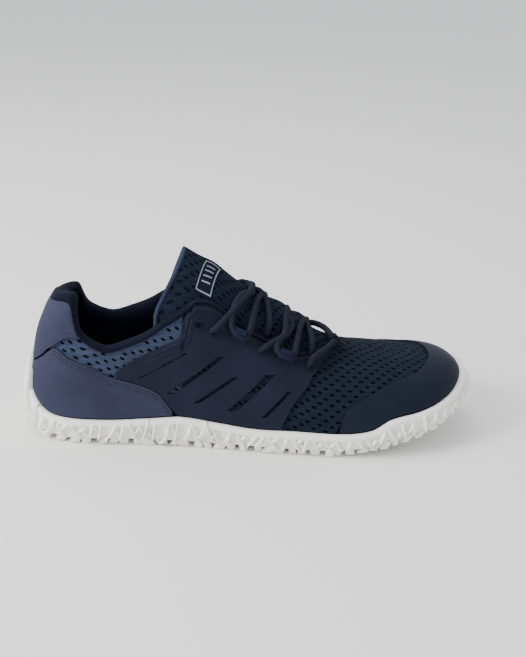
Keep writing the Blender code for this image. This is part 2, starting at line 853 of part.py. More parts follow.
def panel_top(side, way):
    """Top line of a side panel: up the quarter, then just below the throat."""
    if way < PANEL_TOP[-1][0]:
        return height_share(PANEL_TOP, side, way)
    near = min(1.0, (THROAT_END - way) / EYESTAY_RUN)
    return edge_rise(side, way) - EYESTAY_EDGE * (EYESTAY_NEAR + (1 - EYESTAY_NEAR) * near)


def panel_low(side, way):
    """Low line of a side panel: the counter, the sole's rim, then the curve in front of the laces."""
    if way <= COUNTER[-1][0]:
        return max(counter_top(side, way) + 3 * GAP / HEEL_HEIGHT, over_rim(side, way))
    if way < PANEL_FRONT[0][0]:
        return over_rim(side, way)
    return max(over_rim(side, way), smooth(PANEL_FRONT, RISE_COLUMNS, "rise", way))


def below_edge(side, way):
    """Top line of the heel collar, clear of the roll that lies on the upper's edge."""
    return rise_of(side, way, height_of(side, way, edge_rise(side, way)) - OVERLAY - 3 * GAP)


def cap_top(side, way):
    return smooth(CAP_TOP, RISE_COLUMNS, "rise", way)


def overlay(name, stations, low, high, rows, material, collection, seat=SEAT):
    """A thin overlay on the upper between a low and a high line."""
    outer = sheet(stations, low, high, seat + OVERLAY, rows)
    inner = sheet(stations, low, high, seat, rows)
    verts, faces = slab(outer, inner)
    return add_mesh(name, verts, faces, material, collection)


def round_heel(end):
    """Stations from the inner side round the heel to the outer side."""
    ways = side_ways(0.0, end)
    return [(LATERAL, w) for w in reversed(ways[1:])] + [(MEDIAL, w) for w in ways]


def round_toe(start):
    """Stations from the outer side round the toe to the inner side."""
    ways = side_ways(start, 1.0)
    return [(LATERAL, w) for w in ways[:-1]] + [(MEDIAL, w) for w in reversed(ways)]


def make_overlays(collection, cutters, suede, smooth_suede):
    """The counter, heel collar, side panels with their slits, and the toe cap."""
    overlay("heel_counter", round_heel(COUNTER_END), over_rim, counter_top, 2, suede, collection)
    overlay("heel_collar", round_heel(COLLAR_SEAM[-1][0]),
            lambda s, w: height_share(COLLAR_SEAM, s, w), below_edge, 4, suede, collection)
    overlay("toe_cap", round_toe(CAP_TOP[0][0]), over_rim, cap_top, 4, smooth_suede, collection)
    for name, side in SIDES.items():
        ways = side_ways(PANEL_TOP[0][0], PANEL_FRONT[-1][0])
        panel = overlay(f"side_panel_{name}", [(side, w) for w in ways], panel_low, panel_top, 4,
                        suede, collection, PANEL_SEAT)
        verts, faces = [], []
        for row in SLITS:
            part = slit(side, *row)
            faces += [tuple(len(verts) + k for k in face) for face in part[1]]
            verts += part[0]
        cutter = add_mesh(f"slits {name}", verts, faces, None, cutters)
        cutter.hide_render = True
        cutter.display_type = "WIRE"
        cut = panel.modifiers.new("slits", "BOOLEAN")
        cut.operation = "DIFFERENCE"
        cut.solver = "EXACT"
        cut.object = cutter


def slit(side, low_way, low, high_way, high, width):
    """A block that cuts one slanting slit through a side panel."""
    rings = []
    for grow in (-OVERLAY, PANEL_SEAT + 2 * OVERLAY):
        ring = []
        for way, share in ((low_way, low), (low_way + width, low), (high_way + width, high), (high_way, high)):
            ring.append(wall(side, way, HEEL_HEIGHT * share, grow))
        rings.append(ring)
    return loft(rings)


def make_lining(collection, material):
    """The padded roll round the collar and the lining that hangs from it inside the upper."""
    rings = []
    for side, way in round_heel(LINING[-1][0]):
        pad = LINING_PAD * smooth(LINING, LINING_COLUMNS, "pad", way)
        edge = height_of(side, way, edge_rise(side, way))
        back = -(UPPER_WALL + GAP)
        profile = (
            (edge + GAP, back),
            (edge + GAP, OVERLAY),
            (edge + ROLL_SHOULDER * ROLL_RISE, OVERLAY),
            (edge + ROLL_RISE, -UPPER_WALL / 2),
            (edge + ROLL_SHOULDER * ROLL_RISE, back - PAD_TOP * pad),
            (edge - PAD_BELLY * LINING_DEPTH, back - pad),
            (edge - LINING_DEPTH, back - PAD_HEM * pad),
            (edge - LINING_DEPTH, back),
        )
        rings.append([wall(side, way, height, grow) for height, grow in profile])
    verts, faces = loft(rings)
    return add_mesh("collar_lining", verts, faces, material, collection)


def cover_height(x, y):
    """Height of what lies on top at a place in plan: the tongue, or the form of the panels beside it."""
    return max(last_height(x, y, PANEL_SEAT + OVERLAY), tongue_height(x, y))


def above(x, y, lift):
    """A point at a distance off the top surface, measured square to it."""
    step = 0.0015
    run = (cover_height(x + step, y) - cover_height(x - step, y)) / (2 * step)
    tilt = (cover_height(x, y + step) - cover_height(x, y - step)) / (2 * step)
    normal = Vector((-run, -tilt, 1.0)).normalized()
    return Vector((x - LENGTH / 2, y, cover_height(x, y))) + normal * lift


def path_over(route, clearance):
    """Points along a smooth curve over the top of the shoe. A route's row is x, y and extra lift."""
    places = []
    for i in range(len(route) - 1):
        before, a, b, after = (route[max(i - 1, 0)], route[i], route[i + 1], route[min(i + 2, len(route) - 1)])
        for k in range(LACE_STEPS):
            t = k / LACE_STEPS
            places.append([
                0.5 * (2 * a[c] + (b[c] - before[c]) * t
                       + (2 * before[c] - 5 * a[c] + 4 * b[c] - after[c]) * t**2
                       + (3 * a[c] - before[c] - 3 * b[c] + after[c]) * t**3)
                for c in range(3)])
    places.append(list(route[-1]))
    return [above(x, y, LACE / 2 + clearance + lift) for x, y, lift in places]


def tube(name, points, material, collection):
    """A round cord along a chain of points, as a closed mesh."""
    curve = bpy.data.curves.new(name, "CURVE")
    curve.dimensions = "3D"
    curve.bevel_depth = LACE / 2
    curve.bevel_resolution = 1
    curve.use_fill_caps = True
    spline = curve.splines.new("POLY")
    spline.points.add(len(points) - 1)
    for slot, point in zip(spline.points, points):
        slot.co = (*point, 1.0)
    cord = bpy.data.objects.new(f"{name} route", curve)
    collection.objects.link(cord)
    mesh = bpy.data.meshes.new_from_object(cord.evaluated_get(bpy.context.evaluated_depsgraph_get()))
    bpy.data.objects.remove(cord)
    bm = bmesh.new()
    bm.from_mesh(mesh)
    bmesh.ops.remove_doubles(bm, verts=bm.verts, dist=0.00001)
    bmesh.ops.recalc_face_normals(bm, faces=bm.faces)
    bm.to_mesh(mesh)
    bm.free()
    mesh.materials.clear()
    if material:
        mesh.materials.append(material)
    item = bpy.data.objects.new(name, mesh)
    collection.objects.link(item)
    return item


def eyelet_place(side, index):
    """Plan place of an eyelet, x from the back of the heel."""
    way, rise = EYELETS[index]
    point = skin(side, way, rise)
    return point.x + LENGTH / 2, point.y


def loop_place(side, way):
    """Plan place of a webbing loop's eye, just inside the throat's edge."""
    point = skin(side, way, edge_rise(side, way))
    return point.x + LENGTH / 2, point.y - side * LOOP_INSET


def make_laces(collection, cutters, material):
    """The front bar, and the two crossings, each two cords that go through the loops and come back."""
    keeper = (KEEPER_AT * LENGTH, skin(LATERAL, KEEPER_WAY, 1.0).y)
    ends = [eyelet_place(side, 3) for side in (LATERAL, MEDIAL)]
    route = []
    for (x, y), sign in ((ends[0], -1), (keeper, 0), (ends[1], 1)):
        if sign == 0:
            route += [(x, y - LACE, KEEPER_LIFT), (x, y, KEEPER_LIFT), (x, y + LACE, KEEPER_LIFT)]
        else:
            route.append((x + BAR_START * (keeper[0] - x), y + BAR_START * (keeper[1] - y), 0.0))
    tube("lace_front", path_over(route, LACE_CLEAR), material, collection)
    for name, loop, eyelet in (("lace_lower", "front", 2), ("lace_upper", "rear", 1)):
        cords = []
        for side in (LATERAL, MEDIAL):
            hole = eyelet_place(side, eyelet)
            eye = loop_place(-side, LOOPS[loop])
            start = (eye[0] + LACE_START, hole[1] - side * THROAT_REACH)
            route = (
                (start[0], start[1], 0.0),
                (eye[0] + EYE_AHEAD * LACE, 0.0, CROSS_LIFT if side == LATERAL else 0.0),
                (eye[0] + LACE, eye[1] + side * EYE_TURN * LACE, LOOP_LIFT),
                (eye[0], eye[1], LOOP_LIFT),
                (eye[0] - LACE, eye[1] + side * EYE_TURN * LACE, LOOP_LIFT),
                ((eye[0] + hole[0]) / 2, 0.0, 0.0 if side == LATERAL else CROSS_LIFT),
                (hole[0] + 2 * EYELET_STOP, hole[1] - side * 2 * EYELET_STOP, TAPE),
                (hole[0] + EYELET_STOP, hole[1] - side * EYELET_STOP, TAPE),
            )
            label = name if side == LATERAL else f"{name} far cord"
            cords.append(tube(label, path_over(route, LACE_CLEAR), material if side == LATERAL else None,
                              collection if side == LATERAL else cutters))
        cords[1].hide_render = True
        cords[1].display_type = "WIRE"
        join = cords[0].modifiers.new("crossing", "BOOLEAN")
        join.operation = "UNION"
        join.solver = "EXACT"
        join.object = cords[1]


def make_loops(collection, webbing, cord):
    """The webbing loops at the throat's edges, and the loop at its front that keeps the lace."""
    for name, side in SIDES.items():
        for place, way in LOOPS.items():
            x, y = loop_place(side, way)
            eye = above(x, y, LACE / 2 + LACE_CLEAR + LOOP_LIFT)
            ahead = above(x + LACE, y, LACE / 2 + LACE_CLEAR + LOOP_LIFT)
            ring_loop(f"lace_loop_{name}_{place}", eye, (ahead - eye).normalized(), LOOP_WIDTH, webbing, collection)
    x, y = KEEPER_AT * LENGTH, skin(LATERAL, KEEPER_WAY, 1.0).y
    eye = above(x, y, LACE / 2 + LACE_CLEAR + KEEPER_LIFT)
    ring_loop("throat_loop", eye, Vector((0.0, 1.0, 0.0)), KEEPER_WIDTH, cord, collection)


def ring_loop(name, eye, axis, width, material, collection):
    """A flat tape bent round a lace at its eye, with its width along the lace."""
    upward = (Vector((0.0, 0.0, 1.0)) - axis * axis.z).normalized()
    across = axis.cross(upward)
    rings = []
    for k in range(LOOP_SIDES):
        angle = math.tau * k / LOOP_SIDES
        spoke = upward * math.sin(angle) + across * math.cos(angle)
        near, far = LACE / 2 + LOOP_ROOM, LACE / 2 + LOOP_ROOM + TAPE
        rings.append([eye + spoke * r + axis * w
                      for r, w in ((near, -width / 2), (far, -width / 2), (far, width / 2), (near, width / 2))])
    verts, faces = loft(rings, closed=True)
    return add_mesh(name, verts, faces, material, collection)


def make_label(collection, material):
    """A plain patch on the tongue, a little askew as it is sewn."""
    outer = []
    for t in steps(0.0, 1.0, LABEL_STEPS):
        row = []
        for u in steps(0.0, 1.0, LABEL_STEPS):
            a = Vector(LABEL[0]).lerp(Vector(LABEL[1]), u)
            b = Vector(LABEL[3]).lerp(Vector(LABEL[2]), u)
            x, y = a.lerp(b, t)
            row.append(Vector((x * LENGTH - LENGTH / 2, y * BALL_WIDTH, tongue_height(x * LENGTH, y * BALL_WIDTH))))
        outer.append(row)
    verts, faces = slab(thicken(outer, -(3 * GAP + TAPE)), thicken(outer, -3 * GAP))
    return add_mesh("tongue_label", verts, faces, material, collection)


def main():
    """Builds the shoe."""
    for item in list(bpy.data.objects):
        bpy.data.objects.remove(item)
    shoe = bpy.data.collections.new("barefoot shoe")
    cutters = bpy.data.collections.new("cutters")
    bpy.context.scene.collection.children.link(shoe)
    bpy.context.scene.collection.children.link(cutters)
    rubber = finish("white rubber", (0.80, 0.80, 0.77), 0.60)
    knit = finish("navy knit", (0.045, 0.075, 0.120), 0.85)
    suede = finish("navy suede", (0.070, 0.085, 0.150), 0.90)
    coated = finish("coated navy", (0.060, 0.080, 0.140), 0.60)
    cloth = finish("dark lining cloth", (0.020, 0.025, 0.040), 0.90)
    webbing = finish("grey-blue webbing", (0.260, 0.320, 0.420), 0.85)
    braid = finish("navy braid", (0.090, 0.115, 0.180), 0.85)
    make_outsole(shoe, rubber, cutters)
    make_insole(shoe, cloth)
    make_upper(shoe, knit)
    make_tongue(shoe, knit)
    make_overlays(shoe, cutters, suede, coated)
    make_lining(shoe, cloth)
    make_label(shoe, cloth)
    make_loops(shoe, webbing, braid)
    make_laces(shoe, cutters, braid)


main()
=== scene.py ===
"""The looks of a low barefoot shoe for the right foot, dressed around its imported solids.

The shoe points along +X, its outer side is at -Y, and it stands on Z = 0 with its middle over the origin.
Knit, overlays, roll and sole all follow one last, which is worked out from the shoe's own sizes.
"""

import bisect
import functools
import math
import random
import time

import bpy
from mathutils import Matrix, Vector


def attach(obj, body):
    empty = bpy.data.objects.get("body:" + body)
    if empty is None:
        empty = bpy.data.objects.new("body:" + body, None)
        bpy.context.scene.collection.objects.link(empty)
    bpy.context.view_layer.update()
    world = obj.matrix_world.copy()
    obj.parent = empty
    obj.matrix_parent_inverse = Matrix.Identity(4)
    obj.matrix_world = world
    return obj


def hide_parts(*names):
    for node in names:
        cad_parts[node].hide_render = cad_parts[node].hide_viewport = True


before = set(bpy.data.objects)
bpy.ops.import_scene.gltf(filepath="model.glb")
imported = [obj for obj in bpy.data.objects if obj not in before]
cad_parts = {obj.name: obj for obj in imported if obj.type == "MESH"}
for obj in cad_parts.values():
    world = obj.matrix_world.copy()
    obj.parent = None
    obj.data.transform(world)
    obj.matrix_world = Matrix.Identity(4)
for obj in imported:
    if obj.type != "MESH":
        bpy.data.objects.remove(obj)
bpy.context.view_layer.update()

bl_info = {
    "name": "Barefoot Shoe",
    "version": (1, 0, 0),
    "blender": (4, 5, 0),
    "location": "View3D > Sidebar > Shoe",
    "description": "Dresses a packed barefoot shoe with knit, suede, rubber and laces",
    "category": "Object",
}

# Driving sizes, in metres
LENGTH = 0.285
BALL_WIDTH = 0.104
HEEL_HEIGHT = 0.0893
INNER_LOW = 0.0065
COLLAR_DIP = 0.0610
INSTEP_HEIGHT = 0.112
TONGUE_HEIGHT = 0.117
TOE_SPRING = 0.020
HEEL_LIFT = 0.0038
RIM_HEIGHT = 0.0160

# Walls, layers and clearances, in metres
GAP = 0.0003
UPPER_WALL = 0.0018
OVERLAY = 0.0012
PANEL_SEAT = 0.0015
RIM_WALL = 0.0028
SOLE_FLOOR = 0.0050
INSOLE = 0.0035
TONGUE_WALL = 0.0045
TONGUE_BULGE = 0.0056
LINING_DEPTH = 0.022
ROLL_RISE = 0.0032
LACE = 0.0040

# Tread and side relief of the sole, in metres
LUG = 0.0022
BEAD = 0.0042

LATERAL, MEDIAL = -1, 1
SIDES = {"lateral": LATERAL, "medial": MEDIAL}

# The last. Lengths are shares: reach of LENGTH, widths of half BALL_WIDTH, crest of INSTEP_HEIGHT.
# flank and crown shape a section: 2 and 2 make an ellipse, more is squarer.
LAST_COLUMNS = ("reach", "lateral", "medial", "crest", "lean", "flank", "crown")
LAST = (
    (0.147, 0.640, 0.620, 0.940, 0.000, 4.20, 2.00),
    (0.250, 0.655, 0.610, 0.960, 0.000, 4.30, 2.00),
    (0.345, 0.695, 0.595, 0.985, 0.000, 3.40, 1.80),
    (0.400, 0.735, 0.600, 0.950, 0.000, 2.40, 1.80),
    (0.450, 0.775, 0.620, 0.850, 0.006, 2.10, 1.85),
    (0.520, 0.845, 0.665, 0.720, 0.014, 2.05, 1.75),
    (0.600, 0.905, 0.755, 0.590, 0.025, 2.05, 1.70),
    (0.660, 0.940, 0.835, 0.515, 0.038, 2.10, 1.80),
    (0.720, 0.948, 0.905, 0.478, 0.055, 2.20, 2.00),
    (0.790, 0.905, 0.940, 0.447, 0.075, 2.30, 2.20),
    (0.855, 0.805, 0.920, 0.420, 0.090, 2.40, 2.40),
)
HEEL_END = {"flank": 1.60, "crown": 2.00, "round": 2.25, "lean": 0.000}
TOE_END = {"flank": 2.70, "crown": 2.60, "round": 2.20, "lean": 0.130}

# Where the two rounded ends hand over to the sides, as shares of the way round from heel to toe
HEEL_TURN = 0.17
TOE_TURN = 0.80

# Where the heel's roll ends and the toe's spring starts, as shares of LENGTH
HEEL_ROLL = 0.105
SPRING_START = 0.665

# The way round at which the collar is lowest, at which it meets the throat, and at which the throat ends
DIP_WAY = 0.206
CORNER_WAY = 0.367
THROAT_END = 0.651

# The way over which the collar's inner lobe comes down to its lower height beside the heel
INNER_RUN = 0.080

# Collar line: climb from the dip to the heel behind it, and from the dip to the throat's corner ahead
COLLAR_COLUMNS = ("way", "climb")
COLLAR = (
    (0.000, 0.90),
    (0.055, 0.93),
    (0.105, 0.99),
    (0.128, 1.00),
    (0.141, 0.92),
    (0.150, 0.62),
    (0.158, 0.34),
    (0.170, 0.17),
    (0.184, 0.07),
    (DIP_WAY, 0.00),
    (0.240, 0.12),
    (0.277, 0.30),
    (0.313, 0.57),
    (0.342, 0.76),
    (CORNER_WAY, 1.00),
)

# Throat line: rise as a share of the last's height
THROAT_COLUMNS = ("way", "rise")
THROAT = (
    (CORNER_WAY, 0.812),
    (0.400, 0.824),
    (0.430, 0.822),
    (0.465, 0.800),
    (0.500, 0.800),
    (0.560, 0.815),
    (0.600, 0.900),
    (0.628, 0.960),
    (THROAT_END, 1.000),
)

# Rim line of the sole: height of its top edge as a share of RIM_HEIGHT
RIM_COLUMNS = ("way", "rise")
RIM = (
    (0.000, 2.30),
    (0.030, 2.15),
    (0.070, 1.50),
    (0.100, 1.15),
    (0.130, 1.05),
    (0.210, 1.00),
    (0.280, 1.10),
    (0.345, 1.22),
    (0.410, 1.08),
    (0.475, 0.94),
    (0.560, 0.94),
    (0.640, 0.90),
    (0.708, 0.87),
    (0.745, 1.12),
    (0.800, 1.05),
    (0.890, 1.00),
    (1.000, 1.18),
)


# Side of the sole: level from the tread to the rim, and how far it stands proud in rim walls
SOLE_COLUMNS = ("level", "proud")
SOLE_SIDE = (
    (0.00, -1.60),
    (0.05, -0.40),
    (0.16, 0.55),
    (0.38, 0.90),
    (0.70, 0.95),
)
BEAD_SIDE = (
    (-0.02, 0.95),
    (0.12, 1.28),
    (0.75, 1.22),
    (1.00, 0.80),
)

# Length of the outline that a whole way stands for, in metres
WAY_LENGTH = 0.325 * LENGTH / 0.285

# Relief of the sole: the ribs' spacing, reach up the side and height, and the spacing of the edge lugs
TWIG_PITCH = 0.0066
TWIG_REACH = 0.0125
TWIG_PROUD = 0.0031
TWIG_FORK = 0.42
SIDE_FACE = 0.95
EDGE_LUG_PITCH = 0.0074

# Lugs of the tread: rows along the shoe, spacing across it, and half sizes, in metres
TREAD_ROWS = 20
TREAD_GAP = 0.012
TREAD_MARGIN = 0.009
TREAD_HALF = (0.0044, 0.0040)
TREAD_DEEP = 0.0012

# The tongue: at and sweep are shares of LENGTH, half is a share of the last's half width there
TONGUE_COLUMNS = ("at", "half", "sweep")
TONGUE = (
    (0.745, 0.30, 0.000),
    (0.695, 0.36, 0.000),
    (0.650, 0.42, 0.000),
    (0.615, 0.46, 0.000),
    (0.575, 0.52, 0.000),
    (0.530, 0.58, 0.000),
    (0.475, 0.61, 0.000),
    (0.430, 0.61, 0.008),
    (0.397, 0.60, 0.022),
    (0.373, 0.60, 0.040),
    (0.358, 0.63, 0.052),
    (0.347, 0.65, 0.058),
)
TONGUE_START = TONGUE[0][0]
TONGUE_END = TONGUE[-1][0]
TONGUE_TIP = 0.347
TONGUE_FREE = 0.365
TONGUE_BLEND = 0.050
TONGUE_EDGE = 0.0025
TONGUE_CLEAR = 0.0010
TONGUE_TUCK = 0.0012
TONGUE_SLOPE = 0.60
TONGUE_DROP = 1.00

# How much the tongue fills out under the laces, in metres, and how much its inner corner is swept back
TONGUE_FILL = 0.0066
INNER_SWEEP = 0.40

# Where the tongue's knit and its bound edge end towards the toe, as shares of LENGTH
TONGUE_KNIT_END = 0.700
TONGUE_BIND_END = 0.520

# Overlays: heights are shares of HEEL_HEIGHT, rises are shares of the last's height
COUNTER_COLUMNS = ("way", "height")
COUNTER = (
    (0.000, 0.493),
    (0.050, 0.526),
    (0.085, 0.594),
    (0.105, 0.655),
    (0.119, 0.677),
    (0.144, 0.616),
    (0.175, 0.566),
    (0.213, 0.493),
    (0.250, 0.459),
    (0.288, 0.413),
    (0.306, 0.370),
    (0.319, 0.302),
    (0.332, 0.245),
    (0.352, 0.170),
)
COUNTER_END = 0.328
COLLAR_SEAM = (
    (0.000, 0.504),
    (0.050, 0.538),
    (0.085, 0.610),
    (0.100, 0.661),
    (0.113, 0.690),
    (0.125, 0.728),
    (0.138, 0.759),
    (0.150, 0.765),
    (0.157, 0.768),
)
PANEL_TOP = (
    (0.222, 0.530),
    (0.250, 0.608),
    (0.288, 0.685),
    (0.331, 0.760),
    (0.342, 0.790),
    (0.350, 0.918),
    (0.363, 0.950),
)
RISE_COLUMNS = ("way", "rise")
PANEL_FRONT = (
    (0.537, 0.163),
    (0.550, 0.317),
    (0.562, 0.427),
    (0.581, 0.560),
    (0.594, 0.690),
    (0.606, 0.770),
    (0.619, 0.860),
    (0.632, 0.915),
)
CAP_TOP = (
    (0.646, 0.200),
    (0.656, 0.400),
    (0.669, 0.484),
    (0.706, 0.623),
    (0.744, 0.740),
    (0.794, 0.857),
    (0.850, 0.924),
    (0.938, 0.963),
    (1.000, 0.972),
)
EYESTAY_EDGE = 0.028

# Slits in each side panel: way and height of the low end, of the high end, and the width along the way
SLITS = (
    (0.262, 0.500, 0.350, 0.690, 0.007),
    (0.318, 0.395, 0.412, 0.660, 0.014),
    (0.368, 0.335, 0.440, 0.525, 0.012),
    (0.432, 0.290, 0.503, 0.540, 0.019),
    (0.497, 0.260, 0.543, 0.435, 0.010),
)

# Padding of the collar lining along the way, in shares of LINING_PAD
LINING_COLUMNS = ("way", "pad")
LINING = (
    (0.000, 1.00),
    (0.110, 1.00),
    (0.160, 0.75),
    (0.220, 0.55),
    (0.320, 0.44),
)

# Way and rise of each side's eyelets, from the ankle to the toe, and ways of the two webbing loops
EYELETS = (
    (0.375, 0.684),
    (0.400, 0.664),
    (0.494, 0.713),
    (0.588, 0.766),
)
LOOPS = {"rear": 0.457, "front": 0.547}

# Points of a lace between two places of its route, its clearance, and the lining's padding in metres
LACE_STEPS = 12
LACE_CLEAR = 0.0006
LINING_PAD = 0.0080

# One turn of the lace's braid, how far a crossing's upper cord rises, and how far ahead of its eyelets
# it crosses, in metres
BRAID_TURN = 0.0052
CROSS_LIFT = 0.0006
CROSS_AHEAD = {"rear": 0.0230, "front": 0.0160}

# Eyes of the webbing loops: how far out they stand on each side and how far behind their way, in metres
EYE_OUT = {LATERAL: {"rear": 0.0290, "front": 0.0302}, MEDIAL: {"rear": 0.0225, "front": 0.0225}}
EYE_BEHIND = {"rear": 0.0024, "front": 0.0036}

# Webbing: how far below the throat's edge it starts, as a rise, its thickness and its two widths in metres
WEBBING_LOW = {"rear": 0.118, "front": 0.098}
WEBBING = 0.0008
WEBBING_WIDE = 0.0110
WEBBING_NARROW = 0.0068
KEEPER_WIDE = 0.0046

# Where the keeper loop stands in plan, in metres from the back of the heel and from the middle line, and
# the patch's corners in plan, as shares of LENGTH and BALL_WIDTH
KEEPER = (0.1925, -0.0075)
LABEL = ((0.3923, -0.0289), (0.4271, -0.0376), (0.4030, -0.1830), (0.3672, -0.1636))


def smooth(rows, names, name, at):
    """Reads a smooth curve through one column of a table, at a value of its first column."""
    xs = [row[0] for row in rows]
    ys = [row[names.index(name)] for row in rows]
    at = min(max(at, xs[0]), xs[-1])
    k = max(i for i in range(len(xs) - 1) if xs[i] <= at)
    slopes = []
    for i in (k, k + 1):
        before, after = max(i - 1, 0), min(i + 1, len(xs) - 1)
        slopes.append((ys[after] - ys[before]) / (xs[after] - xs[before]))
    span = xs[k + 1] - xs[k]
    t = (at - xs[k]) / span
    ease = 3 * t**2 - 2 * t**3
    bend = slopes[0] * (t**3 - 2 * t**2 + t) + slopes[1] * (t**3 - t**2)
    return ys[k] + (ys[k + 1] - ys[k]) * ease + span * bend


@functools.lru_cache(maxsize=None)
def last_at(reach, name):
    return smooth(LAST, LAST_COLUMNS, name, reach)


def half_width(side, reach):
    return BALL_WIDTH / 2 * last_at(reach, "lateral" if side == LATERAL else "medial")


def reach_at(way):
    """The share of the length at a way round one side, held at the two turns."""
    share = (way - HEEL_TURN) / (TOE_TURN - HEEL_TURN)
    return LAST[0][0] + (LAST[-1][0] - LAST[0][0]) * min(max(share, 0.0), 1.0)


def way_at(x):
    """The way round at a distance from the back of the heel, between the two turns."""
    share = (x / LENGTH - LAST[0][0]) / (LAST[-1][0] - LAST[0][0])
    return HEEL_TURN + (TOE_TURN - HEEL_TURN) * share


def spring(x):
    """How far the sole has risen off the floor at a distance from the back of the heel."""
    start = SPRING_START * LENGTH
    ahead = max(0.0, (x - start) / (LENGTH - start))
    return TOE_SPRING * ahead**1.45


def ground(x):
    """Height of the tread's underside, which rolls up a little at the back of the heel."""
    return spring(x) + HEEL_LIFT * max(0.0, 1 - x / (HEEL_ROLL * LENGTH)) ** 1.2


@functools.lru_cache(maxsize=None)
def outline(side, way):
    """The last's outline, from the back of the heel (way 0) to the tip of the toe (way 1)."""
    reach = reach_at(way)
    x, y = reach * LENGTH, half_width(side, reach)
    if way < HEEL_TURN:
        angle = math.pi / 2 * max(way, 0.0) / HEEL_TURN
        power = 2 / HEEL_END["round"]
        y *= math.sin(angle) ** power
        x -= (x - RIM_WALL) * math.cos(angle) ** power
    if way > TOE_TURN:
        angle = math.pi / 2 * (min(way, 1.0) - TOE_TURN) / (1 - TOE_TURN)
        power = 2 / TOE_END["round"]
        ahead = (LENGTH - RIM_WALL - x) * math.sin(angle) ** power
        slope = (y - half_width(side, reach - 0.03)) / (0.03 * LENGTH)
        y = (y + slope * ahead) * max(math.cos(angle), 0.0) ** power
        lean = BALL_WIDTH / 2 * TOE_END["lean"] * (ahead / (LENGTH - RIM_WALL - x)) ** 2
        return x + ahead, side * y + lean
    return x, side * y


def outward(side, way):
    """The unit normal of the outline in plan."""
    if way <= 0.0:
        return Vector((-1.0, 0.0))
    if way >= 1.0:
        return Vector((1.0, 0.0))
    step = 0.004
    behind, ahead = outline(side, max(way - step, 0.0)), outline(side, min(way + step, 1.0))
    along = Vector((ahead[0] - behind[0], ahead[1] - behind[1])).normalized()
    return Vector((along.y, -along.x)) * (1 if side == LATERAL else -1)


def deck_height(x):
    """Height of the cupped sole's floor, on which the upper and the insole stand."""
    return spring(x) + LUG + SOLE_FLOOR


@functools.lru_cache(maxsize=None)
def meridian(side, way):
    """One upright curve of the last: its foot, outward normal, crest point and two shape powers."""
    reach = reach_at(way)
    x, y = outline(side, way)
    lean, height = BALL_WIDTH / 2 * last_at(reach, "lean"), INSTEP_HEIGHT * last_at(reach, "crest")
    crest = Vector((reach * LENGTH, lean, height))
    flank, crown = last_at(reach, "flank"), last_at(reach, "crown")
    if way < HEEL_TURN:
        blend = math.cos(math.pi / 2 * way / HEEL_TURN) ** 2
        flank += (HEEL_END["flank"] - flank) * blend
        crown += (HEEL_END["crown"] - crown) * blend
    if way > TOE_TURN:
        blend = math.sin(math.pi / 2 * (way - TOE_TURN) / (1 - TOE_TURN)) ** 2
        flank += (TOE_END["flank"] - flank) * blend
        crown += (TOE_END["crown"] - crown) * blend
    return Vector((x, y, deck_height(x) + GAP)), outward(side, way), crest, flank, crown


def skin(side, way, rise, grow=0.0):
    """A point of the last's surface, grown outward by a distance. rise is the share of its height."""
    foot, normal, crest, flank, crown = meridian(side, way)
    rise = min(max(rise, 0.0), 1.0)
    spread = (1 - rise**flank) ** (1 / crown)
    x = crest.x + (foot.x + normal.x * grow - crest.x) * spread
    y = crest.y + (foot.y + normal.y * grow - crest.y) * spread
    return Vector((x - LENGTH / 2, y, foot.z + (crest.z + grow - foot.z) * rise))


def rise_of(side, way, height):
    """The share of the last's height that a height above the ground is."""
    foot, _, crest, _, _ = meridian(side, way)
    return min(max((height - foot.z) / (crest.z - foot.z), 0.0), 1.0)


def height_of(side, way, rise):
    foot, _, crest, _, _ = meridian(side, way)
    return foot.z + (crest.z - foot.z) * rise


def rises(low, high, count):
    """Rises from low to high, spaced evenly over the curve of the last."""
    start, end = math.asin(min(max(low, 0.0), 1.0)), math.asin(min(max(high, 0.0), 1.0))
    return [math.sin(start + (end - start) * i / count) for i in range(count + 1)]


@functools.lru_cache(maxsize=None)
def edge_rise(side, way):
    """Rise of the upper's top edge: the collar, then the throat, then the closed vamp."""
    if way >= THROAT_END:
        return 1.0
    if way >= CORNER_WAY:
        return smooth(THROAT, THROAT_COLUMNS, "rise", way)
    climb = smooth(COLLAR, COLLAR_COLUMNS, "climb", way)
    corner = height_of(side, CORNER_WAY, THROAT[0][1])
    top = HEEL_HEIGHT if way < DIP_WAY else corner
    if side == MEDIAL and way < DIP_WAY:
        top -= INNER_LOW * min(1.0, way / INNER_RUN)
    return rise_of(side, way, COLLAR_DIP + (top - COLLAR_DIP) * climb)


def rim_height(way):
    """Height of the sole's top edge above its rise off the floor at that place."""
    x = outline(LATERAL, way)[0]
    return spring(x) + RIM_HEIGHT * smooth(RIM, RIM_COLUMNS, "rise", way)


def steps(start, end, count):
    return [start + (end - start) * i / count for i in range(count + 1)]


def blend_in(value, low, high):
    """0 below low, 1 above high, and a soft rise between."""
    t = min(max((value - low) / (high - low), 0.0), 1.0)
    return t * t * (3 - 2 * t)


def wall(side, way, height, grow):
    """A point of the grown last at an exact height above the ground."""
    foot, _, crest, _, _ = meridian(side, way)
    point = skin(side, way, (height - foot.z) / (crest.z + grow - foot.z), grow)
    point.z = height
    return point


def sole_height(way, level):
    """Height on the sole's side: 0 at the tread's base and 1 where the bead starts."""
    low = ground(outline(LATERAL, way)[0]) + LUG
    plain = RIM_HEIGHT - BEAD - LUG
    return low + plain * level + (rim_height(way) - BEAD - low - plain) * level**3


def last_height(x, y, grow):
    """Height of the grown last over a place in plan, x from the back of the heel, between the two turns."""
    side = LATERAL if y < 0 else MEDIAL
    foot, _, crest, flank, crown = meridian(side, way_at(x))
    share = abs(y - crest.y) / (abs(foot.y - crest.y) + grow)
    rise = (1 - min(share, 1.0) ** crown) ** (1 / flank)
    return foot.z + (crest.z + grow - foot.z) * rise


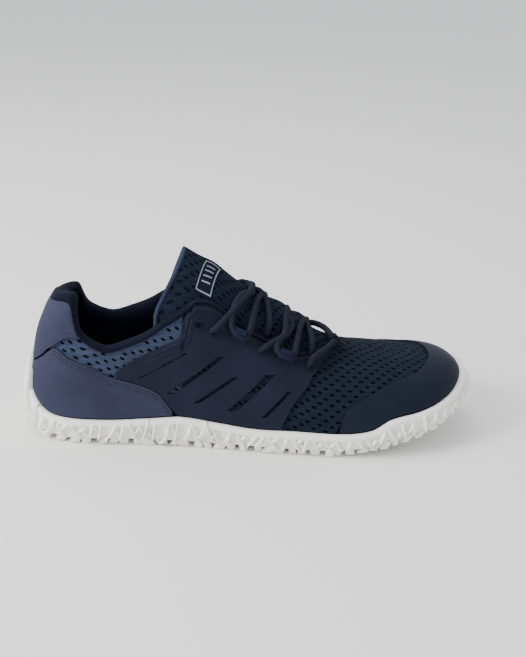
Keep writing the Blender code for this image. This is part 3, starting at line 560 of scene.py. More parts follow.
def throat_half(side, x):
    """Half width of the throat's opening at a distance from the back of the heel."""
    way = way_at(x)
    return abs(skin(side, way, edge_rise(side, way)).y)


def tongue_height(x, y):
    """Height of the tongue's outer face over a place in plan, x from the back of the heel."""
    corner = 0.372 * LENGTH
    side = LATERAL if y < 0 else MEDIAL
    held = max(x, corner)
    half = throat_half(side, held) - TONGUE_EDGE
    fade = min(max((0.640 - x / LENGTH) / 0.080, 0.0), 1.0)
    under = last_height(held, y, -(UPPER_WALL + TONGUE_CLEAR + TONGUE_TUCK * (1 - fade)))
    bulge = TONGUE_BULGE * fade * max(0.0, 1 - (y / max(half, TONGUE_EDGE)) ** 2)
    tip = TONGUE_TIP * LENGTH
    drop = TONGUE_DROP * TONGUE_HEIGHT * (1 + max(0.0, 2.0 * (tip - x) / BALL_WIDTH))
    free = TONGUE_HEIGHT - (x - tip) * TONGUE_SLOPE - drop * (abs(y) / (0.5 * BALL_WIDTH)) ** 1.6
    blend = min(max((x / LENGTH - TONGUE_FREE) / TONGUE_BLEND, 0.0), 1.0)
    blend = blend * blend * (3 - 2 * blend)
    height = free + (under + bulge - free) * blend
    covered = x > corner - TONGUE_EDGE and abs(y) > half
    return min(height, under) if covered else height


def over_rim(side, way):
    """Rise of the lowest edge of an overlay, just clear of the sole's rim."""
    return rise_of(side, way, rim_height(way) + 3 * GAP)


def height_share(rows, side, way, drop=0.0):
    """Rise of a line whose heights are shares of the heel's height."""
    return rise_of(side, way, HEEL_HEIGHT * smooth(rows, COUNTER_COLUMNS, "height", way) - drop)


def counter_top(side, way):
    line = height_share(COUNTER, side, way)
    if way > COLLAR_SEAM[-1][0]:
        return line
    return min(line, height_share(COLLAR_SEAM, side, way, 3 * GAP))


def panel_top(side, way):
    """Top line of a side panel: up the quarter, then just below the throat."""
    if way < PANEL_TOP[-1][0]:
        return height_share(PANEL_TOP, side, way)
    near = min(1.0, (THROAT_END - way) / 0.090)
    return edge_rise(side, way) - EYESTAY_EDGE * (0.25 + 0.75 * near)


def panel_low(side, way):
    """Low line of a side panel: the counter, the sole's rim, then the curve in front of the laces."""
    if way <= COUNTER[-1][0]:
        return max(counter_top(side, way) + 3 * GAP / HEEL_HEIGHT, over_rim(side, way))
    if way < PANEL_FRONT[0][0]:
        return over_rim(side, way)
    return max(over_rim(side, way), smooth(PANEL_FRONT, RISE_COLUMNS, "rise", way))


def below_edge(side, way):
    """Top line of the heel collar, clear of the roll that lies on the upper's edge."""
    return rise_of(side, way, height_of(side, way, edge_rise(side, way)) - OVERLAY - 3 * GAP)


def cap_top(side, way):
    return smooth(CAP_TOP, RISE_COLUMNS, "rise", way)


def cover_height(x, y):
    """Height of what lies on top at a place in plan: the tongue, or the form of the panels beside it."""
    return max(last_height(x, y, PANEL_SEAT + OVERLAY), tongue_height(x, y))


def above(x, y, lift):
    """A point at a distance off the top surface, measured square to it."""
    step = 0.0015
    run = (cover_height(x + step, y) - cover_height(x - step, y)) / (2 * step)
    tilt = (cover_height(x, y + step) - cover_height(x, y - step)) / (2 * step)
    normal = Vector((-run, -tilt, 1.0)).normalized()
    return Vector((x - LENGTH / 2, y, cover_height(x, y))) + normal * lift


def path_over(route, clearance):
    """Points along a smooth curve over the top of the shoe. A route's row is x, y and extra lift."""
    places = []
    for i in range(len(route) - 1):
        before, a, b, after = route[max(i - 1, 0)], route[i], route[i + 1], route[min(i + 2, len(route) - 1)]
        for k in range(LACE_STEPS):
            t = k / LACE_STEPS
            places.append([
                0.5 * (2 * a[c] + (b[c] - before[c]) * t
                       + (2 * before[c] - 5 * a[c] + 4 * b[c] - after[c]) * t**2
                       + (3 * a[c] - before[c] - 3 * b[c] + after[c]) * t**3)
                for c in range(3)])
    places.append(list(route[-1]))
    return [above(x, y, LACE / 2 + clearance + lift) for x, y, lift in places]


# Finish of the knit, in metres: half the distance between a row's holes, a row of holes, a plain row
CELL = 0.00375
HOLE_ROW = 0.0019
PLAIN_ROW = 0.0014
KNIT_WALL = 0.0008
BACKING = 0.0010
HOLE_INSET = 0.00006
QUARTER_TURN = math.radians(30)
QUARTER_MIDDLE = (0.077, 0.058)
QUARTER_LENGTH = 0.110
QUARTER_REACH = 0.050
VAMP_REACH = 0.135
SPLIT_WAY = 0.346
POLE = LAST[-1][0] * LENGTH
INSIDE = Vector((0.0, 0.0, 0.030))
UNDER_TONGUE = Vector((-0.02, 0.0, 0.0))

# Overlays: how far a sheet stands off the knit, the toe cap's thickness, the ridges round a panel's corner
# and the punched holes with their rings of thread, in metres
SHEET_SEAT = 0.0002
CAP_SHEET = 0.0008
COLLAR_PADDING = 0.0016
RIDGES = (0.0026, 0.0052)
RIDGE_HEIGHT = 0.00075
RIDGE_WIDTH = 0.00065
HOLE_RADIUS = 0.0019
RING_RADIUS = 0.0022
RING_THREAD = 0.00045

# Stitches: distances of their rows from an edge, spacing, length and thickness, in metres
COUNTER_ROWS = (0.0018, 0.0036)
EDGE_ROW = 0.0022
STITCH_PITCH = 0.0026
STITCH_LENGTH = 0.0018
STITCH_THREAD = 0.00042

# Soft troughs of the worn upper: way, rise, half length along, half length up, slant, depth in metres
CREASES = (
    (LATERAL, 0.575, 0.80, 0.030, 0.10, 0.9, 0.0006),
    (LATERAL, 0.520, 0.55, 0.040, 0.09, 0.7, 0.0005),
    (LATERAL, 0.440, 0.60, 0.045, 0.10, 0.8, 0.0005),
    (LATERAL, 0.665, 0.86, 0.020, 0.12, 0.5, 0.0006),
    (LATERAL, 0.230, 0.40, 0.030, 0.08, -0.4, 0.0004),
    (MEDIAL, 0.585, 0.78, 0.030, 0.10, 0.9, 0.0006),
    (MEDIAL, 0.500, 0.60, 0.040, 0.10, 0.7, 0.0005),
    (MEDIAL, 0.670, 0.86, 0.020, 0.12, 0.5, 0.0006),
)


def soft(side, way, rise):
    """How far the surface stands off the plain last: the soft troughs and the ridges beside them."""
    total = 0.0
    for where, at, high, along, up, slant, depth in CREASES:
        if where != side:
            continue
        a, b = (way - at) / along, (rise - high) / up
        across = b - slant * a
        reach = a * a + b * b
        if reach < 9:
            total -= depth * math.exp(-across * across * 2 - a * a) * (1 - 0.6 * across * across)
    return total


def dressed(side, way, rise, grow=0.0):
    """A point of the shoe's skin with its soft troughs."""
    return skin(side, way, rise, grow + soft(side, way, rise))


def tint(red, green, blue):
    """A linear colour from the usual values of 0 to 255."""
    shares = (value / 255 for value in (red, green, blue))
    return tuple(c / 12.92 if c < 0.0405 else ((c + 0.055) / 1.055) ** 2.4 for c in shares)


def only(piece):
    bpy.ops.object.select_all(action="DESELECT")
    piece.select_set(True)
    bpy.context.view_layer.objects.active = piece


def grid(name, columns, rows, place):
    """Adds a grid and puts each point where a function of its column and row says."""
    bpy.ops.object.select_all(action="DESELECT")
    bpy.ops.mesh.primitive_grid_add(x_subdivisions=columns, y_subdivisions=rows, size=2.0)
    piece = bpy.context.object
    piece.name = piece.data.name = name
    for k, vertex in enumerate(piece.data.vertices):
        vertex.co = place(k % (columns + 1), k // (columns + 1))
    return piece


def face_out(piece, inner=INSIDE):
    """Turns the faces of an open sheet away from a point inside the shoe."""
    piece.data.update()
    total = sum((face.center - inner).dot(face.normal) * face.area for face in piece.data.polygons)
    if total < 0:
        piece.data.flip_normals()


def apply(piece, kind, **values):
    """Adds a modifier with its values and applies it."""
    only(piece)
    modifier = piece.modifiers.new(kind.title(), kind)
    for name, value in values.items():
        setattr(modifier, name, value)
    bpy.ops.object.modifier_apply(modifier=modifier.name)


def merge(piece, distance=2e-6):
    only(piece)
    bpy.ops.object.mode_set(mode="EDIT")
    bpy.ops.mesh.select_all(action="SELECT")
    bpy.ops.mesh.remove_doubles(threshold=distance)
    bpy.ops.object.mode_set(mode="OBJECT")


def pick(piece, chosen):
    """Opens the piece in edit mode with the faces selected that a test chooses."""
    only(piece)
    bpy.ops.object.mode_set(mode="EDIT")
    bpy.ops.mesh.select_mode(type="FACE")
    bpy.ops.mesh.select_all(action="DESELECT")
    bpy.ops.object.mode_set(mode="OBJECT")
    for face in piece.data.polygons:
        face.select = chosen(face)
    bpy.ops.object.mode_set(mode="EDIT")


def smooth_shade(piece, angle=40):
    only(piece)
    bpy.ops.object.shade_smooth_by_angle(angle=math.radians(angle))


def close_ends(piece):
    """Fills a piece's open ends, where it has any, and points its faces outward."""
    only(piece)
    bpy.ops.object.mode_set(mode="EDIT")
    bpy.ops.mesh.select_all(action="SELECT")
    bpy.ops.mesh.fill_holes(sides=0)
    bpy.ops.mesh.select_all(action="SELECT")
    bpy.ops.mesh.normals_make_consistent(inside=False)
    bpy.ops.object.mode_set(mode="OBJECT")


def dress(piece, material, slot, *nodes):
    """Gives a finished piece its material, hangs it on the root and hides the imported parts it stands in
    for.
    """
    piece.data.materials.clear()
    piece.data.materials.append(material)
    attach(piece, "root")
    if nodes:
        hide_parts(*nodes)
    return piece


def join(name, pieces):
    only(pieces[0])
    for piece in pieces[1:]:
        piece.select_set(True)
    if len(pieces) > 1:
        bpy.ops.object.join()
    pieces[0].name = pieces[0].data.name = name
    return pieces[0]


def curve_through(points, count):
    """Points on a smooth curve through a short list of points."""
    result = []
    last = len(points) - 1
    for i in range(last):
        p, a, b, q = points[max(i - 1, 0)], points[i], points[i + 1], points[min(i + 2, last)]
        for k in range(count):
            t = k / count
            result.append(0.5 * (2 * a + (b - p) * t + (2 * p - 5 * a + 4 * b - q) * t * t
                                 + (3 * a - p - 3 * b + q) * t ** 3))
    result.append(points[-1].copy())
    return result


def lengths_along(points):
    """Length of a chain of points up to each of them."""
    lengths = [0.0]
    for a, b in zip(points, points[1:]):
        lengths.append(lengths[-1] + (b - a).length)
    return lengths


def even(points, step):
    """The same chain of points, evenly spaced."""
    lengths = lengths_along(points)
    count = max(2, round(lengths[-1] / step))
    result, k = [], 0
    for i in range(count + 1):
        at = lengths[-1] * i / count
        while k < len(points) - 2 and lengths[k + 1] < at:
            k += 1
        span = max(lengths[k + 1] - lengths[k], 1e-9)
        result.append(points[k].lerp(points[k + 1], min(max((at - lengths[k]) / span, 0.0), 1.0)))
    return result


def frames_along(points):
    """A pair of directions square to the chain at each point, turning as little as they can."""
    result = []
    normal = None
    for i in range(len(points)):
        along = (points[min(i + 1, len(points) - 1)] - points[max(i - 1, 0)]).normalized()
        if normal is None:
            normal = along.orthogonal().normalized()
        normal = (normal - along * normal.dot(along)).normalized()
        result.append((normal.copy(), along.cross(normal)))
    return result


def tube(name, points, radius, sides=12, relief=None):
    """A closed round tube along a chain of points. relief gives its radius from length and angle."""
    axes = frames_along(points)
    lengths = lengths_along(points)

    def place(column, row):
        angle = math.tau * (row % sides) / sides
        r = radius if relief is None else radius * relief(lengths[column], angle)
        across, up = axes[column]
        return points[column] + (across * math.cos(angle) + up * math.sin(angle)) * r

    piece = grid(name, len(points) - 1, sides, place)
    merge(piece, 1e-7)
    close_ends(piece)
    smooth_shade(piece, 60)
    return piece


class Finish:
    """Builds one procedural material, node by node."""

    def __init__(self, name, colour, rough):
        self.material = bpy.data.materials.new(name)
        self.material.use_nodes = True
        self.nodes = self.material.node_tree.nodes
        self.links = self.material.node_tree.links
        self.shader = self.nodes["Principled BSDF"]
        self.shader.inputs["Base Color"].default_value = (*colour, 1.0)
        self.shader.inputs["Roughness"].default_value = rough
        self.shader.inputs["Specular IOR Level"].default_value = 0.12
        self.height = None
        self.place = self.nodes.new("ShaderNodeTexCoord").outputs["Object"]

    def mapped(self, scale, turn=(0.0, 0.0, 0.0), source=None):
        mapping = self.nodes.new("ShaderNodeMapping")
        mapping.inputs["Scale"].default_value = scale
        mapping.inputs["Rotation"].default_value = turn
        self.links.new(source or self.place, mapping.inputs["Vector"])
        return mapping.outputs["Vector"]

    def noise(self, scale, detail=3.0, rough=0.55, vector=None):
        node = self.nodes.new("ShaderNodeTexNoise")
        node.inputs["Scale"].default_value = scale
        node.inputs["Detail"].default_value = detail
        node.inputs["Roughness"].default_value = rough
        self.links.new(vector or self.place, node.inputs["Vector"])
        return node.outputs["Fac"]

    def wave(self, scale, distortion=0.0, direction="X", vector=None):
        node = self.nodes.new("ShaderNodeTexWave")
        node.bands_direction = direction
        node.inputs["Scale"].default_value = scale
        node.inputs["Distortion"].default_value = distortion
        self.links.new(vector or self.place, node.inputs["Vector"])
        return node.outputs["Fac"]

    def ramp(self, value, *stops):
        """A colour ramp, each stop a place and a colour."""
        node = self.nodes.new("ShaderNodeValToRGB")
        ramp = node.color_ramp
        while len(ramp.elements) < len(stops):
            ramp.elements.new(0.5)
        for element, (at, colour) in zip(ramp.elements, stops):
            element.position = at
            element.color = (*colour, 1.0)
        self.links.new(value, node.inputs["Fac"])
        return node.outputs["Color"]

    def mix(self, share, low, high, mode="MIX"):
        node = self.nodes.new("ShaderNodeMix")
        node.data_type = "RGBA"
        node.blend_type = mode
        for key, value in (("Factor_Float", share), ("A_Color", low), ("B_Color", high)):
            socket = next(s for s in node.inputs if s.identifier == key)
            if hasattr(value, "links"):
                self.links.new(value, socket)
            elif key == "Factor_Float":
                socket.default_value = value
            else:
                socket.default_value = (*value, 1.0)
        return next(s for s in node.outputs if s.identifier == "Result_Color")

    def maths(self, kind, a, b):
        node = self.nodes.new("ShaderNodeMath")
        node.operation = kind
        for slot, value in zip(node.inputs, (a, b)):
            if hasattr(value, "links"):
                self.links.new(value, slot)
            else:
                slot.default_value = value
        return node.outputs["Value"]

    def paint(self, colour):
        self.links.new(colour, self.shader.inputs["Base Color"])

    def gloss(self, value, low, high):
        node = self.nodes.new("ShaderNodeMapRange")
        node.inputs["To Min"].default_value = low
        node.inputs["To Max"].default_value = high
        self.links.new(value, node.inputs["Value"])
        self.links.new(node.outputs["Result"], self.shader.inputs["Roughness"])

    def bump(self, value, depth, strength=1.0):
        """Adds relief over what is there already. depth is in metres."""
        node = self.nodes.new("ShaderNodeBump")
        node.inputs["Distance"].default_value = depth
        node.inputs["Strength"].default_value = strength
        self.links.new(value, node.inputs["Height"])
        if self.height:
            self.links.new(self.height, node.inputs["Normal"])
        self.height = node.outputs["Normal"]
        self.links.new(self.height, self.shader.inputs["Normal"])

    def sheen(self, weight, rough=0.5, colour=(1.0, 1.0, 1.0)):
        self.shader.inputs["Sheen Weight"].default_value = weight
        self.shader.inputs["Sheen Roughness"].default_value = rough
        self.shader.inputs["Sheen Tint"].default_value = (*colour, 1.0)


def shade(colour, factor):
    return tuple(c * factor for c in colour)


def knit_finish(name, colour, turn):
    """Ribbed knit: lighter and darker yarns that run with the rows, and a fine stitch in relief."""
    finish = Finish(name, colour, 0.92)
    along = finish.mapped((60.0, 900.0, 900.0), (0.0, turn, 0.0))
    yarn = finish.noise(1.0, 2.0, 0.5, along)
    patch = finish.noise(90.0, 2.0)
    base = finish.ramp(yarn, (0.30, shade(colour, 0.62)), (0.52, colour), (0.74, shade(colour, 1.55)))
    cloudy = finish.ramp(patch, (0.3, shade(colour, 0.8)), (0.7, shade(colour, 1.2)))
    finish.paint(finish.mix(0.35, base, cloudy))
    stitch = finish.wave(620.0, 2.0, "X", finish.mapped((1.0, 1.0, 1.0), (0.0, turn, 0.0)))
    finish.bump(stitch, 0.00012, 0.6)
    finish.bump(yarn, 0.00020, 0.8)
    finish.sheen(0.04, 0.5, shade(colour, 3.0))
    return finish.material


def suede_finish(name, colour, lighter):
    """Soft nap with cloudy brushed areas and a slight sheen."""
    finish = Finish(name, colour, 0.88)
    cloud = finish.noise(38.0, 4.0, 0.6)
    nap = finish.noise(1500.0, 3.0, 0.65)
    fine = finish.noise(4200.0, 2.0, 0.6)
    base = finish.ramp(cloud, (0.30, shade(colour, 0.84)), (0.50, colour), (0.72, lighter))
    speck = finish.ramp(nap, (0.32, shade(colour, 0.72)), (0.68, shade(lighter, 1.08)))
    finish.paint(finish.mix(0.22, base, speck))
    finish.gloss(cloud, 0.80, 0.94)
    finish.bump(nap, 0.00010, 0.7)
    finish.bump(fine, 0.00005, 0.5)
    finish.sheen(0.08, 0.45, shade(lighter, 2.0))
    return finish.material


def coated_finish(name, colour):
    """Smooth coated cloth with a soft gloss and a very fine grain."""
    finish = Finish(name, colour, 0.55)
    cloud = finish.noise(30.0, 3.0)
    grain = finish.noise(2600.0, 2.0)
    finish.paint(finish.ramp(cloud, (0.30, shade(colour, 0.90)), (0.70, shade(colour, 1.14))))
    finish.gloss(finish.noise(120.0, 3.0), 0.48, 0.62)
    finish.bump(grain, 0.00004, 0.6)
    finish.shader.inputs["Coat Weight"].default_value = 0.02
    finish.shader.inputs["Coat Roughness"].default_value = 0.45
    return finish.material


def rubber_finish(name, colour):
    """Matt foamed rubber, faintly clouded, with a little grime."""
    finish = Finish(name, colour, 0.62)
    cloud = finish.noise(45.0, 4.0, 0.6)
    speck = finish.noise(420.0, 4.0, 0.7)
    base = finish.ramp(cloud, (0.28, shade(colour, 0.93)), (0.55, colour), (0.80, shade(colour, 1.02)))
    grime = finish.ramp(speck, (0.24, (0.50, 0.49, 0.46)), (0.40, colour))
    finish.paint(finish.mix(0.16, base, grime))
    finish.gloss(speck, 0.55, 0.72)
    finish.bump(speck, 0.00008, 0.5)
    finish.bump(finish.noise(2200.0, 2.0), 0.00003, 0.5)
    finish.shader.inputs["Specular IOR Level"].default_value = 0.35
    finish.shader.inputs["Subsurface Weight"].default_value = 0.05
    finish.shader.inputs["Subsurface Radius"].default_value = (0.002, 0.0015, 0.001)
    return finish.material


def cloth_finish(name, colour, scale=900.0, depth=0.0001):
    """A fine woven cloth."""
    finish = Finish(name, colour, 0.93)
    warp = finish.wave(scale / 3.1, 0.4, "X")
    weft = finish.wave(scale / 3.1, 0.4, "Z")
    weave = finish.maths("MULTIPLY", warp, weft)
    cloud = finish.noise(60.0, 3.0)
    base = finish.ramp(cloud, (0.3, shade(colour, 0.75)), (0.7, shade(colour, 1.30)))
    threads = finish.ramp(weave, (0.0, shade(colour, 0.6)), (0.6, shade(colour, 1.5)))
    finish.paint(finish.mix(0.3, base, threads))
    finish.bump(weave, depth, 0.7)
    finish.sheen(0.04, 0.5, shade(colour, 3.0))
    return finish.material


def braid_finish(name, colour):
    """Braided cord: its strands stand out of the mesh, and its yarns differ a little."""
    finish = Finish(name, colour, 0.85)
    yarn = finish.noise(1900.0, 3.0, 0.6)
    cloud = finish.noise(140.0, 2.0)
    base = finish.ramp(yarn, (0.30, shade(colour, 0.60)), (0.52, colour), (0.72, shade(colour, 1.55)))
    cloudy = finish.ramp(cloud, (0.3, shade(colour, 0.8)), (0.7, shade(colour, 1.25)))
    finish.paint(finish.mix(0.3, base, cloudy))
    finish.bump(yarn, 0.00012, 0.8)
    finish.sheen(0.06, 0.4, shade(colour, 2.0))
    return finish.material


def floor_finish(name, colour):
    """The plain pale floor."""
    finish = Finish(name, colour, 0.75)
    finish.paint(finish.ramp(finish.noise(0.8, 2.0), (0.3, shade(colour, 0.99)), (0.7, colour)))
    return finish.material


@functools.lru_cache(maxsize=None)
def slice_down(side, x):
    """Ways, rises, points and lengths from the crest down one side, at a distance from the heel."""
    pairs = []
    if x < POLE:
        pairs = [(way_at(x), math.cos(math.pi / 2 * k / 60)) for k in range(61)]
    else:
        for k in range(400):
            way = TOE_TURN + (1 - TOE_TURN) * (1 - k / 400) ** 2
            foot, _, crest, flank, crown = meridian(side, way)
            spread = (x - crest.x) / max(foot.x - crest.x, 1e-6)
            if spread >= 1:
                break
            pairs.append((way, (1 - spread**crown) ** (1 / flank)))
    points = [dressed(side, way, rise) for way, rise in pairs]
    lengths = lengths_along(points)
    return pairs, points, lengths


def slice_at(side, x, length):
    _, points, lengths = slice_down(side, x)
    k = min(max(bisect.bisect_right(lengths, length) - 1, 0), len(lengths) - 2)
    span = max(lengths[k + 1] - lengths[k], 1e-9)
    return points[k].lerp(points[k + 1], min(max((length - lengths[k]) / span, 0.0), 1.0))


@functools.lru_cache(maxsize=None)
def slice_ends(side, x):
    """Lengths down a slice at which the knit starts and at which it goes under the cap or the sole."""
    pairs, _, lengths = slice_down(side, x)
    top = edge_rise(side, pairs[0][0]) if x < POLE else 1.0
    start, end = 0.0, lengths[-1]
    for k in range(len(pairs) - 1):
        way, rise = pairs[k + 1]
        before = pairs[k][1]
        if top < 1.0 and rise <= top < before:
            start = lengths[k] + (lengths[k + 1] - lengths[k]) * (before - top) / (before - rise)
        low = rise_of(side, way, rim_height(way) - 0.0015)
        if way > CAP_TOP[0][0]:
            low = max(low, cap_top(side, way) - 0.04)
        if rise < low:
            end = lengths[k]
            break
    return start, max(end, start)


def knit_rows(reach):
    """Borders of the rows on both sides of a plain middle row, holes and plain by turns."""
    half = [PLAIN_ROW / 2]
    while half[-1] < reach:
        half.append(half[-1] + (HOLE_ROW if len(half) % 2 else PLAIN_ROW))
    return [-t for t in reversed(half)] + half


def lattice(name, columns, borders, place):
    """A knitted sheet: a grid with its marked cells cut out, thickened and rounded."""
    held = set()

    def put(column, row):
        point, on_border = place(column, row)
        if on_border:
            held.add(row * (columns + 1) + column)
        return point

    rows = len(borders) - 1
    middle = rows // 2
    piece = grid(name, columns, rows, put)
    mesh = piece.data
    cells = set()
    for face in mesh.polygons:
        corners = set(face.vertices)
        row, column = divmod(min(corners), columns + 1)
        away = abs(row - middle)
        if corners <= held:
            face.material_index = 1
        elif away % 2 == 1 and (column + away // 2) % 2 == 0 and not corners & held:
            cells.add(face.index)
    mesh.materials.append(None)
    mesh.materials.append(None)
    pick(piece, lambda face: face.index in cells)
    bpy.ops.mesh.inset(thickness=HOLE_INSET, use_individual=True)
    bpy.ops.mesh.delete(type="FACE")
    bpy.ops.object.mode_set(mode="OBJECT")
    pick(piece, lambda face: face.material_index == 1)
    bpy.ops.mesh.delete(type="FACE")
    bpy.ops.object.mode_set(mode="OBJECT")
    merge(piece, 1e-5)
    face_out(piece)
    apply(piece, "SOLIDIFY", thickness=KNIT_WALL, offset=-1.0, use_even_offset=False)
    apply(piece, "SUBSURF", levels=1, render_levels=1)
    smooth_shade(piece, 75)
    return piece


def make_vamp(settings):
    """The knit over the toes and under the side panels, in rows along the shoe."""
    start, end = reach_at(SPLIT_WAY) * LENGTH, POLE + 0.0150
    columns = round((end - start) / settings.cell)
    borders = knit_rows(VAMP_REACH)

    def place(column, row):
        x = start + (end - start) * column / columns
        t = borders[row]
        side = LATERAL if t < 0 else MEDIAL
        first, last = slice_ends(side, x)
        length = min(max(abs(t), first), last)
        return slice_at(side, x, length), length != abs(t)

    return lattice("knit_vamp", columns, borders, place)


def make_quarter(name, side, settings):
    """The knit of one rear quarter, whose rows slant down towards the toe."""
    middle = Vector(QUARTER_MIDDLE)
    columns = round(QUARTER_LENGTH / settings.cell)
    borders = knit_rows(QUARTER_REACH)

    def place(column, row):
        a, b = (column - columns / 2) * settings.cell, borders[row]
        s = middle.x + a * math.cos(QUARTER_TURN) + b * math.sin(QUARTER_TURN)
        z = middle.y - a * math.sin(QUARTER_TURN) + b * math.cos(QUARTER_TURN)
        way = s / WAY_LENGTH
        out = way > SPLIT_WAY or way < 0.112 or z < 0.026
        way = min(max(way, 0.09), SPLIT_WAY)
        top = height_of(side, way, edge_rise(side, way))
        if z > top:
            z, out = top, True
        rise = rise_of(side, way, max(z, 0.020))
        return dressed(side, way, rise), out

    return lattice(name, columns, borders, place)


def make_backing():
    """The dark cloth behind the knit, all round the foot, open underneath as the upper is."""
    ways = steps(0.0, 1.0, 150)
    stations = [(LATERAL, w) for w in ways] + [(MEDIAL, w) for w in reversed(ways[:-1])]
    rows = 26

    def place(column, row):
        side, way = stations[column]
        rise = rises(0.0, edge_rise(side, way), rows)[row]
        return skin(side, way, rise, soft(side, way, rise) - KNIT_WALL)

    piece = grid("upper_backing", len(stations) - 1, rows, place)
    merge(piece, 1e-5)
    face_out(piece)
    apply(piece, "SOLIDIFY", thickness=BACKING, offset=-1.0)
    smooth_shade(piece, 50)
    return piece


def overlay_sheet(name, stations, low, high, rows, thick, swell=None):
    """A sheet over the knit between a low and a high line, before it gets its thickness."""

    def place(column, row):
        side, way = stations[column]
        rise = rises(low(side, way), max(high(side, way), low(side, way)), rows)[row]
        extra = swell(side, way, rise, row / rows) if swell else 0.0
        return dressed(side, way, rise, SHEET_SEAT + thick + extra)

    piece = grid(name, len(stations) - 1, rows, place)
    face_out(piece)
    return piece


def thicken_sheet(piece, thick, rounding=0.0004):
    apply(piece, "SOLIDIFY", thickness=thick, offset=-1.0)
    apply(piece, "BEVEL", width=rounding, segments=2, limit_method="ANGLE", angle_limit=math.radians(60))
    smooth_shade(piece, 50)
    return piece


def round_heel(end, count):
    ways = steps(0.0, end, count)
    return [(LATERAL, w) for w in reversed(ways[1:])] + [(MEDIAL, w) for w in ways]


def round_toe(start, count):
    ways = steps(start, 1.0, count)
    return [(LATERAL, w) for w in ways[:-1]] + [(MEDIAL, w) for w in reversed(ways)]


def collar_low(side, way):
    return height_share(COLLAR_SEAM, side, way)


def collar_swell(side, way, rise, share):
    """The heel collar is padded, and turns in at its lower seam and its top."""
    fade = 1 - blend_in(way, 0.125, 0.157)
    return COLLAR_PADDING * math.sin(math.pi * min(max(share, 0.0), 1.0)) * (0.3 + 0.7 * fade)


def make_counter():
    stations = round_heel(COUNTER_END, 60)
    sheet = overlay_sheet("heel_counter_suede", stations, over_rim, counter_top, 18, OVERLAY)
    return thicken_sheet(sheet, OVERLAY)


def make_heel_collar():
    stations = round_heel(COLLAR_SEAM[-1][0], 40)
    thick = OVERLAY + 0.0004
    sheet = overlay_sheet("heel_collar_suede", stations, collar_low, below_edge, 24, thick, collar_swell)
    return thicken_sheet(sheet, OVERLAY)


def make_toe_cap():
    stations = round_toe(CAP_TOP[0][0], 70)
    sheet = overlay_sheet("toe_cap_coated", stations, over_rim, cap_top, 26, CAP_SHEET)
    return thicken_sheet(sheet, CAP_SHEET, 0.0003)


def panel_line(side):
    """Points along the top edge of a side panel, for the ridges that follow it."""
    return [skin(side, way, panel_top(side, way), 0.0) for way in steps(0.270, 0.470, 90)]


def make_panel(name, side):
    """A side panel with ridges round its top rear corner, slanting slits and punched eyelets."""
    line = panel_line(side)

    def swell(_, way, rise, share):
        if not 0.26 < way < 0.48:
            return 0.0
        point = skin(side, way, rise)
        away = min((point - p).length for p in line)
        mask = blend_in(way, 0.27, 0.31) * (1 - blend_in(way, 0.41, 0.47))
        ridges = sum(math.exp(-((away - at) / RIDGE_WIDTH) ** 2) for at in RIDGES)
        return RIDGE_HEIGHT * ridges * mask

    ways = steps(PANEL_TOP[0][0], PANEL_FRONT[-1][0], 230)
    sheet = overlay_sheet(name, [(side, w) for w in ways], panel_low, panel_top, 64, OVERLAY, swell)
    apply(sheet, "SOLIDIFY", thickness=OVERLAY, offset=-1.0)
    cutters = [slit_cutter(side, *row) for row in SLITS]
    cutters += [hole_cutter(side, index) for index in range(len(EYELETS))]
    cutter = join(f"{name}_cutter", cutters)
    apply(sheet, "BOOLEAN", operation="DIFFERENCE", solver="MANIFOLD", object=cutter)
    bpy.data.objects.remove(cutter)
    apply(sheet, "BEVEL", width=0.00030, segments=2, limit_method="ANGLE", angle_limit=math.radians(65))
    smooth_shade(sheet, 50)
    return sheet


def slit_cutter(side, low_way, low, high_way, high, width):
    """A curved block that cuts one slanting slit, with a smooth run along it."""
    count = 12

    def place(column, row):
        t = column / count
        way = low_way + (high_way - low_way) * t + width * (0.0, 1.0, 1.0, 0.0, 0.0)[row]
        grow = (-0.002, -0.002, 0.004, 0.004, -0.002)[row]
        return wall(side, way, HEEL_HEIGHT * (low + (high - low) * t), grow)

    piece = grid("slit cutter", count, 4, place)
    merge(piece, 1e-7)
    close_ends(piece)
    return piece


def eyelet_frame(side, index):
    """Centre and outward direction of an eyelet on its panel."""
    way, rise = EYELETS[index]
    low, high = dressed(side, way, rise), dressed(side, way, rise, 0.004)
    return low, (high - low).normalized()


def hole_cutter(side, index):
    centre, normal = eyelet_frame(side, index)
    bpy.ops.object.select_all(action="DESELECT")
    turn = normal.to_track_quat("Z", "Y").to_euler()
    bpy.ops.mesh.primitive_cylinder_add(
        vertices=24, radius=HOLE_RADIUS, depth=0.008, location=centre, rotation=turn)
    piece = bpy.context.object
    bpy.ops.object.transform_apply(location=True, rotation=True, scale=True)
    return piece


def make_eyelets():
    """Stitched rings round the punched holes."""
    rings = []
    for side in SIDES.values():
        for index in range(len(EYELETS)):
            centre, normal = eyelet_frame(side, index)
            bpy.ops.object.select_all(action="DESELECT")
            turn = normal.to_track_quat("Z", "Y").to_euler()
            bpy.ops.mesh.primitive_torus_add(
                location=centre + normal * (OVERLAY + SHEET_SEAT), rotation=turn, major_radius=RING_RADIUS,
                minor_radius=RING_THREAD, major_segments=28, minor_segments=8)
            bpy.ops.object.transform_apply(location=True, rotation=True, scale=True)
            rings.append(bpy.context.object)
    piece = join("eyelet_rings", rings)
    smooth_shade(piece, 60)
    return piece


def sole_profile(side, way):
    """Points up the outer side of the sole, and whether they lie on its beaded band."""
    points = []
    for level in steps(0.0, 0.70, 12):
        proud = smooth(SOLE_SIDE, SOLE_COLUMNS, "proud", level)
        points.append(wall(side, way, sole_height(way, level), proud * RIM_WALL))
    for level in steps(-0.02, 1.0, 10):
        proud = smooth(BEAD_SIDE, SOLE_COLUMNS, "proud", level)
        points.append(wall(side, way, sole_height(way, 1.0) + BEAD * level, proud * RIM_WALL))
    return points


